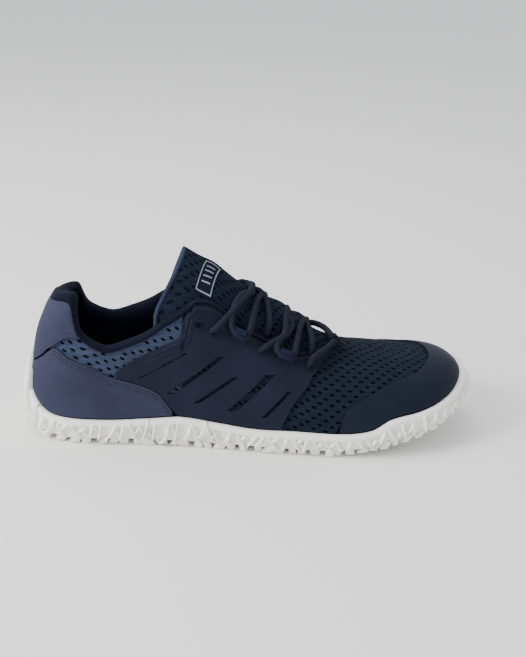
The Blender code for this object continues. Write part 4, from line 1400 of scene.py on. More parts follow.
def sole_path(side, way):
    """One strip of the sole's surface: from the tread's middle round the rim to the middle of its floor."""
    outer = sole_profile(side, way)
    under = [skin(s, way, 0.0, SOLE_SIDE[0][1] * RIM_WALL) for s in (LATERAL, MEDIAL)]
    middle = under[0].lerp(under[1], 0.5)
    middle.z = outer[0].z
    path = [middle.lerp(outer[0], t) for t in (0.0, 0.35, 0.7)] + outer
    foot = skin(side, way, 0.0, GAP)
    top = rim_height(way)
    path += [wall(side, way, height, GAP) for height in steps(top, foot.z, 6)[:-1]]
    floor = Vector((foot.x, foot.y, foot.z - GAP))
    centre = skin(LATERAL, way, 0.0, GAP).lerp(skin(MEDIAL, way, 0.0, GAP), 0.5)
    centre.z = floor.z
    return path + [floor.lerp(centre, t) for t in (0.0, 0.3, 0.65, 1.0)]


def on_sole(side, way, height, grow):
    return wall(side, way, height, SIDE_FACE * RIM_WALL + grow)


def make_sole():
    """The rubber cup with twig-like ribs up its side, small lugs round its edge and lugs under it."""
    ways = steps(0.0, HEEL_TURN, 40) + steps(HEEL_TURN, TOE_TURN, 90)[1:] + steps(TOE_TURN, 1.0, 40)[1:]
    stations = [(LATERAL, w) for w in ways] + [(MEDIAL, w) for w in reversed(ways[:-1])]
    paths = [sole_path(side, way) for side, way in stations]
    body = grid("sole body", len(stations) - 1, len(paths[0]) - 1, lambda column, row: paths[column][row])
    merge(body, 1e-6)
    close_ends(body)
    smooth_shade(body, 55)
    parts = [body]
    draw = random.Random(7)
    for side in SIDES.values():
        parts += make_twigs(side, draw)
        parts += make_edge_lugs(side, draw)
    parts += make_tread()
    return join("cup_sole", parts)


def stroke(start, end, width, proud, on_surface):
    """A soft raised bar between two places on the side of the sole."""
    bpy.ops.object.select_all(action="DESELECT")
    bpy.ops.mesh.primitive_uv_sphere_add(segments=10, ring_count=7, radius=1.0)
    piece = bpy.context.object
    run = Vector((end[0] - start[0], end[1] - start[1]))
    across = Vector((-run.y, run.x)).normalized() * width / 2
    middle = Vector(start) + run / 2
    for vertex in piece.data.vertices:
        a, b, c = vertex.co.z, vertex.co.x, vertex.co.y
        a = math.copysign(abs(a) ** 0.7, a)
        place = middle + run / 2 * a + across * b
        vertex.co = on_surface(place.x, place.y, c * proud)
    return piece


def make_twigs(side, draw):
    """Branching ribs that stand out of the side of the sole."""
    parts = []

    def surface(along, up, grow):
        way = min(max(along / WAY_LENGTH, 0.0), 1.0)
        return on_sole(side, way, sole_height(way, up / TWIG_REACH), grow)

    def bar(a, la, b, lb, width):
        ends = (a, la * TWIG_REACH), (b, lb * TWIG_REACH)
        parts.append(stroke(*ends, width, TWIG_PROUD, surface))

    count = round(WAY_LENGTH / TWIG_PITCH)
    for i in range(count):
        s = (i + 0.5 + draw.uniform(-0.22, 0.22)) * WAY_LENGTH / count
        low, high = draw.uniform(0.05, 0.22), draw.uniform(1.12, 1.34)
        lean = draw.uniform(0.0008, 0.0034) * (1 if draw.random() < 0.5 else -1)
        width = draw.uniform(0.0019, 0.0027)
        bar(s - lean, low, s + lean, high, width)
        joint = draw.uniform(0.35, 0.75)
        at = s - lean + 2 * lean * (joint - low) / (high - low)
        way_out = -1 if lean > 0 else 1
        fork = TWIG_FORK if draw.random() < 0.6 else -TWIG_FORK
        bar(at, joint, at + way_out * draw.uniform(0.0030, 0.0046), joint + fork, width * 0.85)
    return parts


def make_edge_lugs(side, draw):
    """The jagged row of small lugs along the edge of the tread."""
    parts = []
    count = round(WAY_LENGTH / EDGE_LUG_PITCH)
    for i in range(count):
        way = (i + 0.5 + draw.uniform(-0.24, 0.24)) / count
        half = draw.uniform(0.0016, 0.0034) / WAY_LENGTH
        way = min(max(way, half), 1.0 - half)
        x = outline(side, way)[0]
        bottom = ground(x) + draw.uniform(0.0, 0.0007)
        top = sole_height(way, draw.uniform(0.20, 0.42))
        out = draw.uniform(0.60, 1.45)
        bpy.ops.object.select_all(action="DESELECT")
        bpy.ops.mesh.primitive_cube_add(size=2.0)
        piece = bpy.context.object
        apply(piece, "SUBSURF", levels=2, render_levels=2, subdivision_type="SIMPLE")
        skew = draw.uniform(-0.7, 0.7) * half
        for vertex in piece.data.vertices:
            a, b, c = vertex.co
            size = math.sqrt(a * a + b * b + c * c)
            ball = 1.28 / max(size, 1e-6)
            a, b, c = (v * (0.72 + 0.28 * ball) for v in (a, b, c))
            w = min(max(way + a * half * (1.0 - 0.15 * c) + skew * c, 0.0), 1.0)
            height = bottom + (top - bottom) * (min(c, 1.0) + 1) / 2
            inner, outer = -2.4 * RIM_WALL, out * RIM_WALL * (1.0 - 0.25 * (1 - c) / 2)
            grow = inner + (outer - inner) * (b + 1) / 2
            vertex.co = wall(side, w, max(height, ground(x)), grow)
        piece.data.polygons.foreach_set("use_smooth", [True] * len(piece.data.polygons))
        face_out(piece, sum((v.co for v in piece.data.vertices), Vector()) / len(piece.data.vertices))
        parts.append(piece)
    return parts


def make_tread():
    """Rounded blocks under the sole, in staggered rows."""
    parts = []
    for i in range(TREAD_ROWS):
        way = 0.07 + 0.85 * i / (TREAD_ROWS - 1)
        left, right = outline(LATERAL, way), outline(MEDIAL, way)
        width = right[1] - left[1] - 2 * TREAD_MARGIN
        count = max(1, round(width / TREAD_GAP))
        for j in range(count):
            y = left[1] + TREAD_MARGIN + width * (j + 0.5 + (0.22 if i % 2 else -0.22)) / count
            x = left[0]
            bpy.ops.object.select_all(action="DESELECT")
            bpy.ops.mesh.primitive_cube_add(size=2.0)
            piece = bpy.context.object
            for vertex in piece.data.vertices:
                a, b, c = vertex.co
                px, py = x + a * TREAD_HALF[0] + b * 0.0012, y + b * TREAD_HALF[1]
                vertex.co = Vector((px - LENGTH / 2, py, ground(px) + (LUG + TREAD_DEEP) * (c + 1) / 2))
            apply(piece, "BEVEL", width=0.0007, segments=2, limit_method="NONE")
            parts.append(piece)
    return parts


def make_collar_roll():
    """The padded roll that lies on the collar's edge, and the lining that hangs from it inside."""
    ways = steps(0.0, 0.300, 70) + steps(0.300, 0.362, 14)[1:]
    stations = [(LATERAL, w) for w in reversed(ways[1:])] + [(MEDIAL, w) for w in ways]
    table = LINING + ((0.362, 0.34),)
    sections = []
    for side, way in stations:
        pad = LINING_PAD * smooth(table, LINING_COLUMNS, "pad", way)
        edge = height_of(side, way, edge_rise(side, way))
        back = -(KNIT_WALL + BACKING + 0.0002)
        full = 1 - blend_in(way, 0.345, 0.362) * 0.35
        outline_points = (
            (edge - 0.0012, back),
            (edge + 0.0002, -0.0004),
            (edge - 0.0016, OVERLAY * 0.9),
            (edge + 0.0010, OVERLAY * 1.5 * full),
            (edge + 0.70 * ROLL_RISE * full, OVERLAY * 0.7),
            (edge + ROLL_RISE * full, -0.9 * UPPER_WALL),
            (edge + 0.85 * ROLL_RISE * full, back - 0.40 * pad),
            (edge + 0.20 * ROLL_RISE, back - 0.85 * pad),
            (edge - 0.14 * LINING_DEPTH, back - 1.04 * pad),
            (edge - 0.38 * LINING_DEPTH, back - 0.92 * pad),
            (edge - 0.70 * LINING_DEPTH, back - 0.52 * pad),
            (edge - LINING_DEPTH, back - 0.14 * pad),
            (edge - LINING_DEPTH, back),
        )
        sections.append([wall(side, way, height, grow) for height, grow in outline_points])
    count = len(sections[0])
    piece = grid("collar_roll", len(sections) - 1, count, lambda column, row: sections[column][row % count])
    merge(piece, 1e-6)
    close_ends(piece)
    apply(piece, "SUBSURF", levels=1, render_levels=1)
    smooth_shade(piece, 75)
    return piece


def tongue_point(at, share, lift=0.0):
    """A point of the tongue: at is a share of LENGTH, share goes from -1 to 1 across it."""
    half = smooth(TONGUE[::-1], TONGUE_COLUMNS, "half", at)
    sweep = smooth(TONGUE[::-1], TONGUE_COLUMNS, "sweep", at)
    side = LATERAL if share < 0 else MEDIAL
    if side == MEDIAL:
        sweep *= INNER_SWEEP
    x, y = (at - sweep * min(share * share, 1.0)) * LENGTH, half * half_width(side, at) * share
    fill = blend_in(at, 0.48, 0.58) * (1 - blend_in(at, 0.668, 0.700)) * max(0.0, 1 - share * share * 1.4)
    lift += TONGUE_FILL * fill
    y += BALL_WIDTH / 2 * last_at(at, "lean")
    return Vector((x - LENGTH / 2, y, tongue_height(x, y) + lift))


def tongue_reach(at):
    """How much further the tongue's outer edge reaches down than its width in the open, as a factor."""
    return 1.0 + 0.20 * (1 - blend_in(at, 0.36, 0.41))


def make_tongue():
    """The tongue's padded body, which fills out between its seams."""

    def place(column, row):
        at = TONGUE_START + (TONGUE_END - TONGUE_START) * column / 90
        share = -1 + 2 * row / 40
        share = min(share, 0.0) * tongue_reach(at) + max(share, 0.0)
        return tongue_point(at, share, -KNIT_WALL)

    piece = grid("tongue_body", 90, 40, place)
    face_out(piece, UNDER_TONGUE)
    apply(piece, "SOLIDIFY", thickness=TONGUE_WALL - KNIT_WALL, offset=-1.0)
    apply(piece, "BEVEL", width=0.0012, segments=3, limit_method="ANGLE", angle_limit=math.radians(60))
    smooth_shade(piece, 60)
    return piece


def make_tongue_knit():
    """The open knit over the tongue, with slanting holes."""
    columns = 40
    slant = 0.045
    borders = knit_rows(0.048)
    span = 0.040

    def place(column, row):
        share = borders[row] / span
        run = TONGUE_KNIT_END - TONGUE_END + 2 * slant
        at = TONGUE_END + run * column / columns - slant - slant * share
        at, wanted = min(max(at, TONGUE_END), TONGUE_KNIT_END), at
        low = -tongue_reach(at)
        out = not low <= share <= 1 or at != wanted
        return tongue_point(at, min(max(share, low), 1.0), 0.0001), out

    return lattice("tongue_knit", columns, borders, place)


def make_tongue_binding():
    """The pale bound edge of the tongue, up one side, round its tip and down the other."""
    ats = [TONGUE_BIND_END + (TONGUE_END - TONGUE_BIND_END) * t for t in steps(0.0, 1.0, 30)]
    line = [tongue_point(at, -tongue_reach(at)) for at in ats]
    line += [tongue_point(TONGUE_END, share) for share in steps(-1.14, 0.94, 36)]
    line += [tongue_point(at, 1.0) for at in reversed(ats)]
    line = [p + Vector((-0.0004, 0.0, -0.0012)) for p in line]
    return tube("tongue_binding", even(line, 0.0012), 0.0013, 10)


def make_patch():
    """A plain woven patch with a pale border and a few plain lines."""
    corners = [Vector(c) for c in LABEL]

    def spot(u, t, lift):
        a, b = corners[0].lerp(corners[1], u), corners[3].lerp(corners[2], u)
        place = a.lerp(b, t)
        x, y = place.x * LENGTH, place.y * BALL_WIDTH
        return Vector((x - LENGTH / 2, y, tongue_height(x, y) + lift))

    def sheet(name, u0, u1, t0, t1, lift, count=12):
        piece = grid(name, count, count,
                     lambda c, r: spot(u0 + (u1 - u0) * c / count, t0 + (t1 - t0) * r / count, lift))
        face_out(piece, UNDER_TONGUE)
        apply(piece, "SOLIDIFY", thickness=0.0005, offset=-1.0)
        apply(piece, "BEVEL", width=0.00015, segments=2, limit_method="ANGLE", angle_limit=math.radians(60))
        smooth_shade(piece, 60)
        return piece

    patch = sheet("tongue_patch", 0.0, 1.0, 0.0, 1.0, 0.0009, 16)
    edge, inset = 0.055, 0.05
    lines = [
        sheet("line", inset, 1 - inset, inset, inset + 0.030, 0.0012),
        sheet("line", inset, 1 - inset, 1 - inset - 0.030, 1 - inset, 0.0012),
        sheet("line", inset, inset + edge, inset, 1 - inset, 0.0012),
        sheet("line", 1 - inset - edge, 1 - inset, inset, 1 - inset, 0.0012),
    ]
    for k in range(4):
        t = 0.24 + 0.15 * k
        lines.append(sheet("line", 0.24, 0.76, t, t + 0.035, 0.0012, 8))
    return patch, join("patch_lines", lines)


def hole_place(side, index):
    """Plan place of an eyelet on the panel's outer face."""
    way, rise = EYELETS[index]
    point = skin(side, way, rise, PANEL_SEAT + OVERLAY)
    return point.x + LENGTH / 2, point.y


def eye_place(side, loop):
    """Plan place of the eye of a webbing loop, over the panel's top edge."""
    return reach_at(LOOPS[loop]) * LENGTH - EYE_BEHIND[loop], side * EYE_OUT[side][loop]


def lace_route(side, loop, eyelet):
    """One cord of a crossing: out from under the throat's edge, through a loop and into an eyelet.

    Each place is x, y and extra lift, in metres off the loop's eye, the crossing or the hole.
    """
    hole = hole_place(side, eyelet)
    eye = eye_place(-side, loop)
    rear = loop == "rear"
    over = -side * CROSS_LIFT
    ridge = (hole[0] + CROSS_AHEAD[loop], -side * 0.0040)
    return (
        (eye[0] + 0.0190, side * 0.0230, -1.2 * LACE),
        (eye[0] + 0.0185, side * 0.0170, -0.0006),
        (eye[0] + 0.0165, side * 0.0040, 0.0),
        (eye[0] + 0.0110, -side * 0.0090, 0.0),
        (eye[0] + 0.0058, eye[1] + side * 0.0016, 0.0004),
        (eye[0], eye[1] - side * 0.0008, 0.0010),
        (eye[0] - 0.0052, eye[1] + side * 0.0020, 0.0004),
        (eye[0] - (0.0022 if rear else -0.0025), -side * 0.0185, 0.0),
        (eye[0] + (0.0030 if rear else 0.0052), -side * 0.0110, 0.0),
        (ridge[0] + 0.0010, ridge[1] - side * 0.0010, over),
        (ridge[0] - 0.0010, side * 0.0080, over),
        (hole[0] + 0.0135, side * 0.0210, 0.0006),
        (hole[0] + 0.0062, hole[1] - side * 0.0036, 0.0),
        (hole[0] + 0.0024, hole[1] - side * 0.0012, -0.0002),
        (hole[0] + 0.0004, hole[1], -0.9 * LACE),
        (hole[0], hole[1] + side * 0.0004, -1.8 * LACE),
    )


def braid(length, angle):
    """Radius of a braided cord as a share, with crossing strands."""
    turn = length / BRAID_TURN * math.tau
    return 0.95 + 0.07 * max(math.cos(turn + 4 * angle), math.cos(turn - 4 * angle))


def lace_cord(name, route):
    points = even(path_over(route, LACE_CLEAR), 0.00060)
    return tube(name, points, LACE / 2, 20, braid)


def make_laces():
    """The round braided lace: its front bar and the two crossings above it."""
    left, right = (hole_place(side, 3) for side in (LATERAL, MEDIAL))
    x, y = KEEPER
    route = (
        (left[0] - 0.0004, left[1], -1.8 * LACE),
        (left[0], left[1], -0.5 * LACE),
        (left[0] + 0.0024, left[1] + 0.0036, 0.0),
        (left[0] + 0.62 * (x - left[0]), left[1] + 0.50 * (y - left[1]), 0.0),
        (x - 0.0008, y - LACE, 0.0002),
        (x, y, 0.0004),
        (x - 0.0012, y + LACE, 0.0002),
        (right[0] + 0.62 * (x - right[0]), right[1] + 0.50 * (y - right[1]), 0.0),
        (right[0] + 0.0024, right[1] - 0.0036, 0.0),
        (right[0], right[1], -0.5 * LACE),
        (right[0] - 0.0004, right[1], -1.8 * LACE),
    )
    front = lace_cord("lace_front_bar", route)
    crossings = []
    for name, loop, eyelet in (("lace_lower_crossing", "front", 2), ("lace_upper_crossing", "rear", 1)):
        cords = [lace_cord(name, lace_route(side, loop, eyelet)) for side in (LATERAL, MEDIAL)]
        crossings.append(join(name, cords))
    return [front] + crossings


def tape(name, path, widths, axis):
    """A strip of webbing along a path, with its width along an axis."""
    count = len(path) - 1

    def place(column, row):
        share = row / 8 - 0.5
        return path[column] + axis * widths[column] * share

    piece = grid(name, count, 8, place)
    apply(piece, "SOLIDIFY", thickness=WEBBING, offset=0.0)
    apply(piece, "BEVEL", width=0.0002, segments=2, limit_method="ANGLE", angle_limit=math.radians(60))
    smooth_shade(piece, 50)
    return piece


def make_webbing():
    """Folded webbing loops that come out from under the panel's edge and go round the lace."""
    tapes = []
    for name, side in SIDES.items():
        for loop, way in LOOPS.items():
            x, y = eye_place(side, loop)
            lift = LACE / 2 + LACE_CLEAR + 0.0010
            eye = above(x, y, lift)
            axis = (above(x + LACE, y, lift) - above(x - LACE, y, lift)).normalized()
            upward = (Vector((0.0, 0.0, 1.0)) - axis * axis.z).normalized()
            across = axis.cross(upward)
            if across.y * side < 0:
                across.negate()
            r = LACE / 2 + 0.0006
            edge = edge_rise(side, way)
            start = edge - WEBBING_LOW[loop]
            points = [
                skin(side, way - 0.007, start, OVERLAY + 0.0003),
                skin(side, way - 0.005, start + 0.025, PANEL_SEAT + OVERLAY),
                eye + across * r * 0.9 + upward * r * 0.35,
                eye + across * r * 0.3 + upward * r,
                eye - across * r * 0.7 + upward * r * 0.7,
                eye - across * r * 0.9 - upward * r * 0.4,
                eye - upward * r * 1.05,
                skin(side, way, edge - 0.070, 0.0004),
            ]
            path = curve_through(points, 6)
            count = len(path)
            narrower = WEBBING_WIDE - WEBBING_NARROW
            widths = [WEBBING_WIDE - narrower * blend_in(k / count, 0.02, 0.30) for k in range(count)]
            tapes.append(tape(f"webbing_loop_{name}_{loop}", path, widths, axis))
    return tapes


def make_keeper():
    """The small dark loop at the front of the throat that keeps the lace."""
    x, y = KEEPER
    eye = above(x, y, LACE / 2 + LACE_CLEAR + 0.0004)
    along = (above(x + 0.003, y, 0.0) - above(x - 0.003, y, 0.0)).normalized()
    upward = Vector((0.0, 0.0, 1.0)) - along * along.z
    upward.normalize()
    r = LACE / 2 + 0.0006
    points = [
        above(x + 0.0075, y + 0.0010, 0.0003),
        above(x + 0.0045, y + 0.0006, 0.0010),
        eye + along * r * 0.9 + upward * r * 0.5,
        eye + upward * r,
        eye - along * r * 0.9,
        eye - along * r * 0.2 - upward * r,
        above(x + 0.0030, y, 0.0003),
    ]
    path = curve_through(points, 6)
    return tape("throat_keeper", path, [KEEPER_WIDE] * len(path), Vector((0.0, 1.0, 0.0)))


def make_throat_binding():
    """The bound edge of the throat, from one corner round its front to the other."""
    ways = steps(0.352, THROAT_END, 60)
    line = [dressed(LATERAL, way, min(edge_rise(LATERAL, way), 1.0), 0.0001) for way in ways]
    line += [dressed(MEDIAL, way, min(edge_rise(MEDIAL, way), 1.0), 0.0001) for way in reversed(ways[:-1])]
    return tube("throat_binding", even(line, 0.0014), 0.0012, 10)


def make_insole():
    """The cloth-covered insole, slightly dished, inside the upper."""
    inset = -(UPPER_WALL + 2 * GAP)

    def place(column, row):
        way = column / 90
        left, right = skin(LATERAL, way, 0.0, inset), skin(MEDIAL, way, 0.0, inset)
        t = row / 20
        point = left.lerp(right, t)
        point.z += INSOLE - 0.0006 * math.sin(math.pi * t)
        return point

    piece = grid("insole_cover", 90, 20, place)
    face_out(piece, Vector((0.0, 0.0, -1.0)))
    apply(piece, "SOLIDIFY", thickness=INSOLE - 0.0006, offset=-1.0)
    smooth_shade(piece, 50)
    return piece


def stitch_row(points, normals):
    """One row of stitches along a line on the shoe, each half sunk into it."""
    bpy.ops.object.select_all(action="DESELECT")
    bpy.ops.mesh.primitive_uv_sphere_add(segments=6, ring_count=4, radius=1.0)
    model = bpy.context.object
    shape = [v.co.copy() for v in model.data.vertices]
    faces = [tuple(f.vertices) for f in model.data.polygons]
    bpy.data.objects.remove(model)
    lengths = lengths_along(points)
    verts, polygons = [], []
    count = int(lengths[-1] / STITCH_PITCH)
    k = 0
    for i in range(count):
        at = (i + 0.5) * STITCH_PITCH
        while k < len(points) - 2 and lengths[k + 1] < at:
            k += 1
        span = max(lengths[k + 1] - lengths[k], 1e-9)
        t = (at - lengths[k]) / span
        centre = points[k].lerp(points[k + 1], t)
        along = (points[k + 1] - points[k]).normalized()
        up = normals[k].lerp(normals[k + 1], t).normalized()
        across = along.cross(up)
        base = len(verts)
        for v in shape:
            sideways = (across * v.x + up * v.y) * STITCH_THREAD / 2
            verts.append(centre + along * v.z * STITCH_LENGTH / 2 + sideways)
        polygons += [tuple(base + n for n in face) for face in faces]
    return verts, polygons


def line_on(side, ways, rise_at, grow):
    """Points and outward directions along a line of the shoe's skin."""
    points, normals = [], []
    for way in ways:
        rise = min(max(rise_at(side, way), 0.0), 1.0)
        low, high = dressed(side, way, rise, grow), dressed(side, way, rise, grow + 0.002)
        points.append(low)
        normals.append((high - low).normalized())
    return points, normals


def make_stitches():
    """The rows of thread along the counter, the heel collar and the panels."""
    rows = []
    for side in SIDES.values():
        for drop in COUNTER_ROWS:
            rows.append(line_on(side, steps(0.112, 0.326, 120),
                                lambda s, w: counter_top(s, w) - drop / HEEL_HEIGHT, OVERLAY + 0.0003))
        rows.append(line_on(side, steps(0.0, 0.150, 60),
                            lambda s, w: collar_low(s, w) + EDGE_ROW / HEEL_HEIGHT, OVERLAY + 0.0009))
        rows.append(line_on(side, steps(0.236, 0.335, 60),
                            lambda s, w: panel_top(s, w) - EDGE_ROW / HEEL_HEIGHT, OVERLAY + 0.0003))
    verts, faces = [], []
    for points, normals in rows:
        part = stitch_row(points, normals)
        faces += [tuple(len(verts) + n for n in face) for face in part[1]]
        verts += part[0]
    mesh = bpy.data.meshes.new("stitches")
    mesh.from_pydata(verts, [], faces)
    mesh.polygons.foreach_set("use_smooth", [True] * len(mesh.polygons))
    piece = bpy.data.objects.new("stitches", mesh)
    bpy.context.scene.collection.objects.link(piece)
    close_ends(piece)
    return piece


def colour(name, description, *values):
    """A colour that a user can change, with its first value in the usual 0 to 255."""
    return bpy.props.FloatVectorProperty(
        name=name, description=description, subtype="COLOR", size=3, default=tint(*values))


class ShoeSettings(bpy.types.PropertyGroup):
    """Sizes and colours of the finish."""

    cell: bpy.props.FloatProperty(
        name="Mesh cell", description="Half the distance between two holes of a row", default=CELL,
        unit="LENGTH")
    vamp: colour("Vamp knit", "Colour of the knit over the toes", 19, 27, 40)
    quarter: colour("Quarter knit", "Colour of the knit below the collar", 51, 59, 80)
    heel: colour("Heel suede", "Colour of the counter and the heel collar", 46, 48, 66)
    panel: colour("Panel suede", "Colour of the side panels", 25, 28, 42)
    cap: colour("Toe cap", "Colour of the coated toe cap", 16, 23, 38)
    lining: colour("Lining", "Colour of the collar roll and the inside", 12, 15, 30)
    rubber: colour("Rubber", "Colour of the sole", 242, 241, 237)
    lace: colour("Lace", "Colour of the braided lace", 27, 29, 41)
    webbing: colour("Webbing", "Colour of the lace loops", 25, 30, 54)
    floor: colour("Floor", "Colour of the studio floor", 240, 239, 236)
    light: bpy.props.FloatProperty(
        name="Key light", description="Strength of the main soft light", default=30.0, min=0.0)


class SHOE_OT_backing(bpy.types.Operator):
    """Make the dark cloth shell behind the knit"""

    bl_idname = "shoe.backing"
    bl_label = "Upper backing"

    def execute(self, context):
        settings = context.scene.shoe
        cloth = cloth_finish("dark backing cloth", shade(settings.lining, 0.45))
        dress(make_backing(), cloth, "lining", "upper")
        return {"FINISHED"}


class SHOE_OT_knit(bpy.types.Operator):
    """Make the open knit of the vamp and the rear quarters"""

    bl_idname = "shoe.knit"
    bl_label = "Knit"

    def execute(self, context):
        settings = context.scene.shoe
        vamp = knit_finish("vamp knit", settings.vamp, 0.0)
        quarter = knit_finish("quarter knit", settings.quarter, QUARTER_TURN)
        dress(make_vamp(settings), vamp, "knit", "upper")
        for name, side in SIDES.items():
            dress(make_quarter(f"knit_quarter_{name}", side, settings), quarter, "knit", "upper")
        dress(make_throat_binding(), cloth_finish("throat binding", shade(settings.panel, 0.8)),
              "lining", "upper")
        return {"FINISHED"}


class SHOE_OT_overlays(bpy.types.Operator):
    """Make the counter, the heel collar, the side panels and the toe cap"""

    bl_idname = "shoe.overlays"
    bl_label = "Overlays"

    def execute(self, context):
        settings = context.scene.shoe
        heel = suede_finish("heel suede", settings.heel, shade(settings.heel, 1.22))
        panel = suede_finish("panel suede", settings.panel, shade(settings.panel, 1.30))
        cap = coated_finish("coated toe cap", settings.cap)
        dress(make_counter(), heel, "suede", "heel_counter")
        dress(make_heel_collar(), heel, "suede", "heel_collar")
        dress(make_toe_cap(), cap, "smooth_cap", "toe_cap")
        for name, side in SIDES.items():
            piece = make_panel(f"panel_{name}", side)
            dress(piece, panel, "suede", f"side_panel_{name}")
        thread = cloth_finish("thread", shade(settings.heel, 0.55))
        dress(make_stitches(), thread, "suede")
        ring = cloth_finish("eyelet thread", shade(settings.panel, 0.8))
        dress(make_eyelets(), ring, "suede")
        return {"FINISHED"}


class SHOE_OT_sole(bpy.types.Operator):
    """Make the rubber cup sole with its ribs and lugs"""

    bl_idname = "shoe.sole"
    bl_label = "Sole"

    def execute(self, context):
        settings = context.scene.shoe
        dress(make_sole(), rubber_finish("off-white rubber", settings.rubber), "rubber", "outsole")
        return {"FINISHED"}


class SHOE_OT_collar(bpy.types.Operator):
    """Make the padded collar roll and its lining"""

    bl_idname = "shoe.collar"
    bl_label = "Collar roll"

    def execute(self, context):
        settings = context.scene.shoe
        piece = make_collar_roll()
        dress(piece, cloth_finish("collar lining", settings.lining), "lining", "collar_lining")
        return {"FINISHED"}


class SHOE_OT_tongue(bpy.types.Operator):
    """Make the padded tongue, its knit, its binding and its patch"""

    bl_idname = "shoe.tongue"
    bl_label = "Tongue"

    def execute(self, context):
        settings = context.scene.shoe
        body = make_tongue()
        dress(body, cloth_finish("tongue lining", shade(settings.lining, 0.8)), "tongue_cloth", "tongue")
        knit = knit_finish("tongue knit", shade(settings.vamp, 1.1), 0.0)
        dress(make_tongue_knit(), knit, "tongue_cloth", "tongue")
        binding = cloth_finish("tongue binding", shade(settings.quarter, 0.75))
        dress(make_tongue_binding(), binding, "tongue_cloth", "tongue")
        patch, lines = make_patch()
        dress(patch, cloth_finish("patch cloth", shade(settings.lining, 1.1)), "label", "tongue_label")
        dress(lines, cloth_finish("pale thread", tint(120, 126, 136)), "label", "tongue_label")
        return {"FINISHED"}


class SHOE_OT_laces(bpy.types.Operator):
    """Make the laces, the webbing loops and the keeper"""

    bl_idname = "shoe.laces"
    bl_label = "Laces and loops"

    def execute(self, context):
        settings = context.scene.shoe
        cord = braid_finish("braided lace", settings.lace)
        for piece, node in zip(make_laces(), ("lace_front", "lace_lower", "lace_upper")):
            dress(piece, cord, "lace_cord", node)
        webbing = cloth_finish("webbing", settings.webbing, 1300.0, 0.00015)
        for piece in make_webbing():
            dress(piece, webbing, "webbing", piece.name.replace("webbing_loop", "lace_loop"))
        keeper = cloth_finish("keeper tape", shade(settings.lace, 0.55), 1300.0, 0.00015)
        dress(make_keeper(), keeper, "lace_cord", "throat_loop")
        return {"FINISHED"}


class SHOE_OT_insole(bpy.types.Operator):
    """Make the insole inside the shoe"""

    bl_idname = "shoe.insole"
    bl_label = "Insole"

    def execute(self, context):
        settings = context.scene.shoe
        dress(make_insole(), cloth_finish("insole cloth", settings.lining), "insole_cloth", "insole")
        return {"FINISHED"}


# The camera's turn, height angle and roll in degrees, its distance in metres and its lens in millimetres
CAMERA = {"azimuth": -5.5, "elevation": 22.4, "roll": 2.8, "distance": 0.595, "lens": 51.4}
CAMERA_TARGET = Vector((0.0065, 0.0, 0.0636))

# Soft lights: name, place and width in metres, and share of the strength set for the key light
LIGHTS = (
    ("key", (-0.90, -0.30, 0.62), 0.5, 0.48),
    ("top", (-0.30, 0.60, 1.60), 1.2, 0.35),
)
LIT_POINT = Vector((0.0, 0.0, 0.04))


class SHOE_OT_stage(bpy.types.Operator):
    """Set up the floor, the soft lights and the camera"""

    bl_idname = "shoe.stage"
    bl_label = "Stage"

    def execute(self, context):
        settings = context.scene.shoe
        bpy.ops.object.select_all(action="DESELECT")
        bpy.ops.mesh.primitive_plane_add(size=16.0, location=(0.0, 0.0, 0.0))
        floor = context.object
        floor.name = "studio_floor"
        floor.data.materials.append(floor_finish("studio floor", settings.floor))
        world = bpy.data.worlds.new("studio")
        context.scene.world = world
        world.use_nodes = True
        backdrop = world.node_tree.nodes["Background"]
        backdrop.inputs["Color"].default_value = (0.93, 0.95, 1.0, 1.0)
        backdrop.inputs["Strength"].default_value = 1.12
        for name, spot, size, share in LIGHTS:
            light = bpy.data.lights.new(name, "AREA")
            light.shape = "DISK"
            light.size = size
            light.energy = settings.light * share
            lamp = bpy.data.objects.new(name, light)
            lamp.location = spot
            lamp.rotation_euler = (LIT_POINT - Vector(spot)).to_track_quat("-Z", "Y").to_euler()
            context.scene.collection.objects.link(lamp)
        add_camera(context)
        return {"FINISHED"}


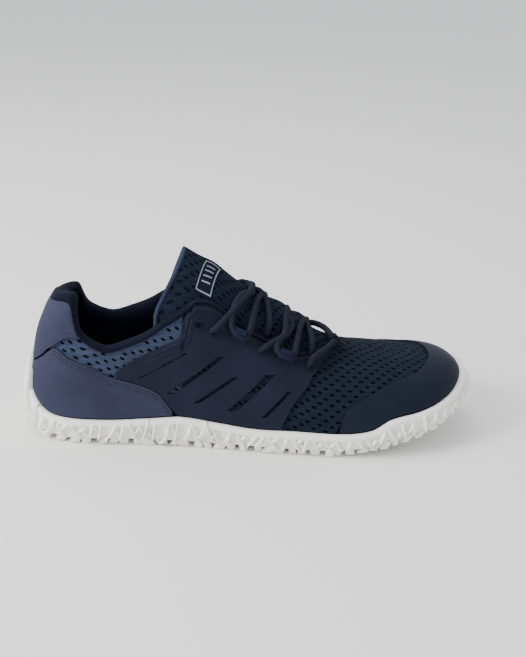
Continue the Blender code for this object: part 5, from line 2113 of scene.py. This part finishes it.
def add_camera(context):
    """Places the camera at the picture's angle to the shoe, a little rolled."""
    turn, tip, roll = (math.radians(CAMERA[k]) for k in ("azimuth", "elevation", "roll"))
    back = Vector((math.sin(turn) * math.cos(tip), -math.cos(turn) * math.cos(tip), math.sin(tip)))
    right = Vector((math.cos(turn), math.sin(turn), 0.0))
    up = back.cross(right)
    rolled_right = right * math.cos(roll) + up * math.sin(roll)
    rolled_up = up * math.cos(roll) - right * math.sin(roll)
    data = bpy.data.cameras.new("camera")
    data.lens = CAMERA["lens"]
    data.sensor_width = 36.0
    camera = bpy.data.objects.new("camera", data)
    pose = Matrix((rolled_right, rolled_up, back)).transposed().to_4x4()
    pose.translation = CAMERA_TARGET + back * CAMERA["distance"]
    camera.matrix_world = pose
    context.scene.collection.objects.link(camera)
    context.scene.camera = camera


PIECES = ("backing", "knit", "overlays", "sole", "insole", "collar", "tongue", "laces", "stage")


class SHOE_PT_panel(bpy.types.Panel):
    """Lists the pieces of the shoe and the settings of its finish"""

    bl_idname = "SHOE_PT_panel"
    bl_label = "Barefoot shoe"
    bl_space_type = "VIEW_3D"
    bl_region_type = "UI"
    bl_category = "Shoe"

    def draw(self, context):
        for piece in PIECES:
            self.layout.operator(f"shoe.{piece}")
        for name in ShoeSettings.__annotations__:
            self.layout.prop(context.scene.shoe, name)


CLASSES = (
    ShoeSettings,
    SHOE_OT_backing,
    SHOE_OT_knit,
    SHOE_OT_overlays,
    SHOE_OT_sole,
    SHOE_OT_insole,
    SHOE_OT_collar,
    SHOE_OT_tongue,
    SHOE_OT_laces,
    SHOE_OT_stage,
    SHOE_PT_panel,
)


def register():
    for item in CLASSES:
        bpy.utils.register_class(item)
    bpy.types.Scene.shoe = bpy.props.PointerProperty(type=ShoeSettings)


def unregister():
    del bpy.types.Scene.shoe
    for item in reversed(CLASSES):
        bpy.utils.unregister_class(item)


def main():
    """Builds every piece in order."""
    register()
    for piece in PIECES:
        started = time.time()
        getattr(bpy.ops.shoe, piece)()
        print("made", piece, round(time.time() - started, 1))


if __name__ == "__main__":
    main()
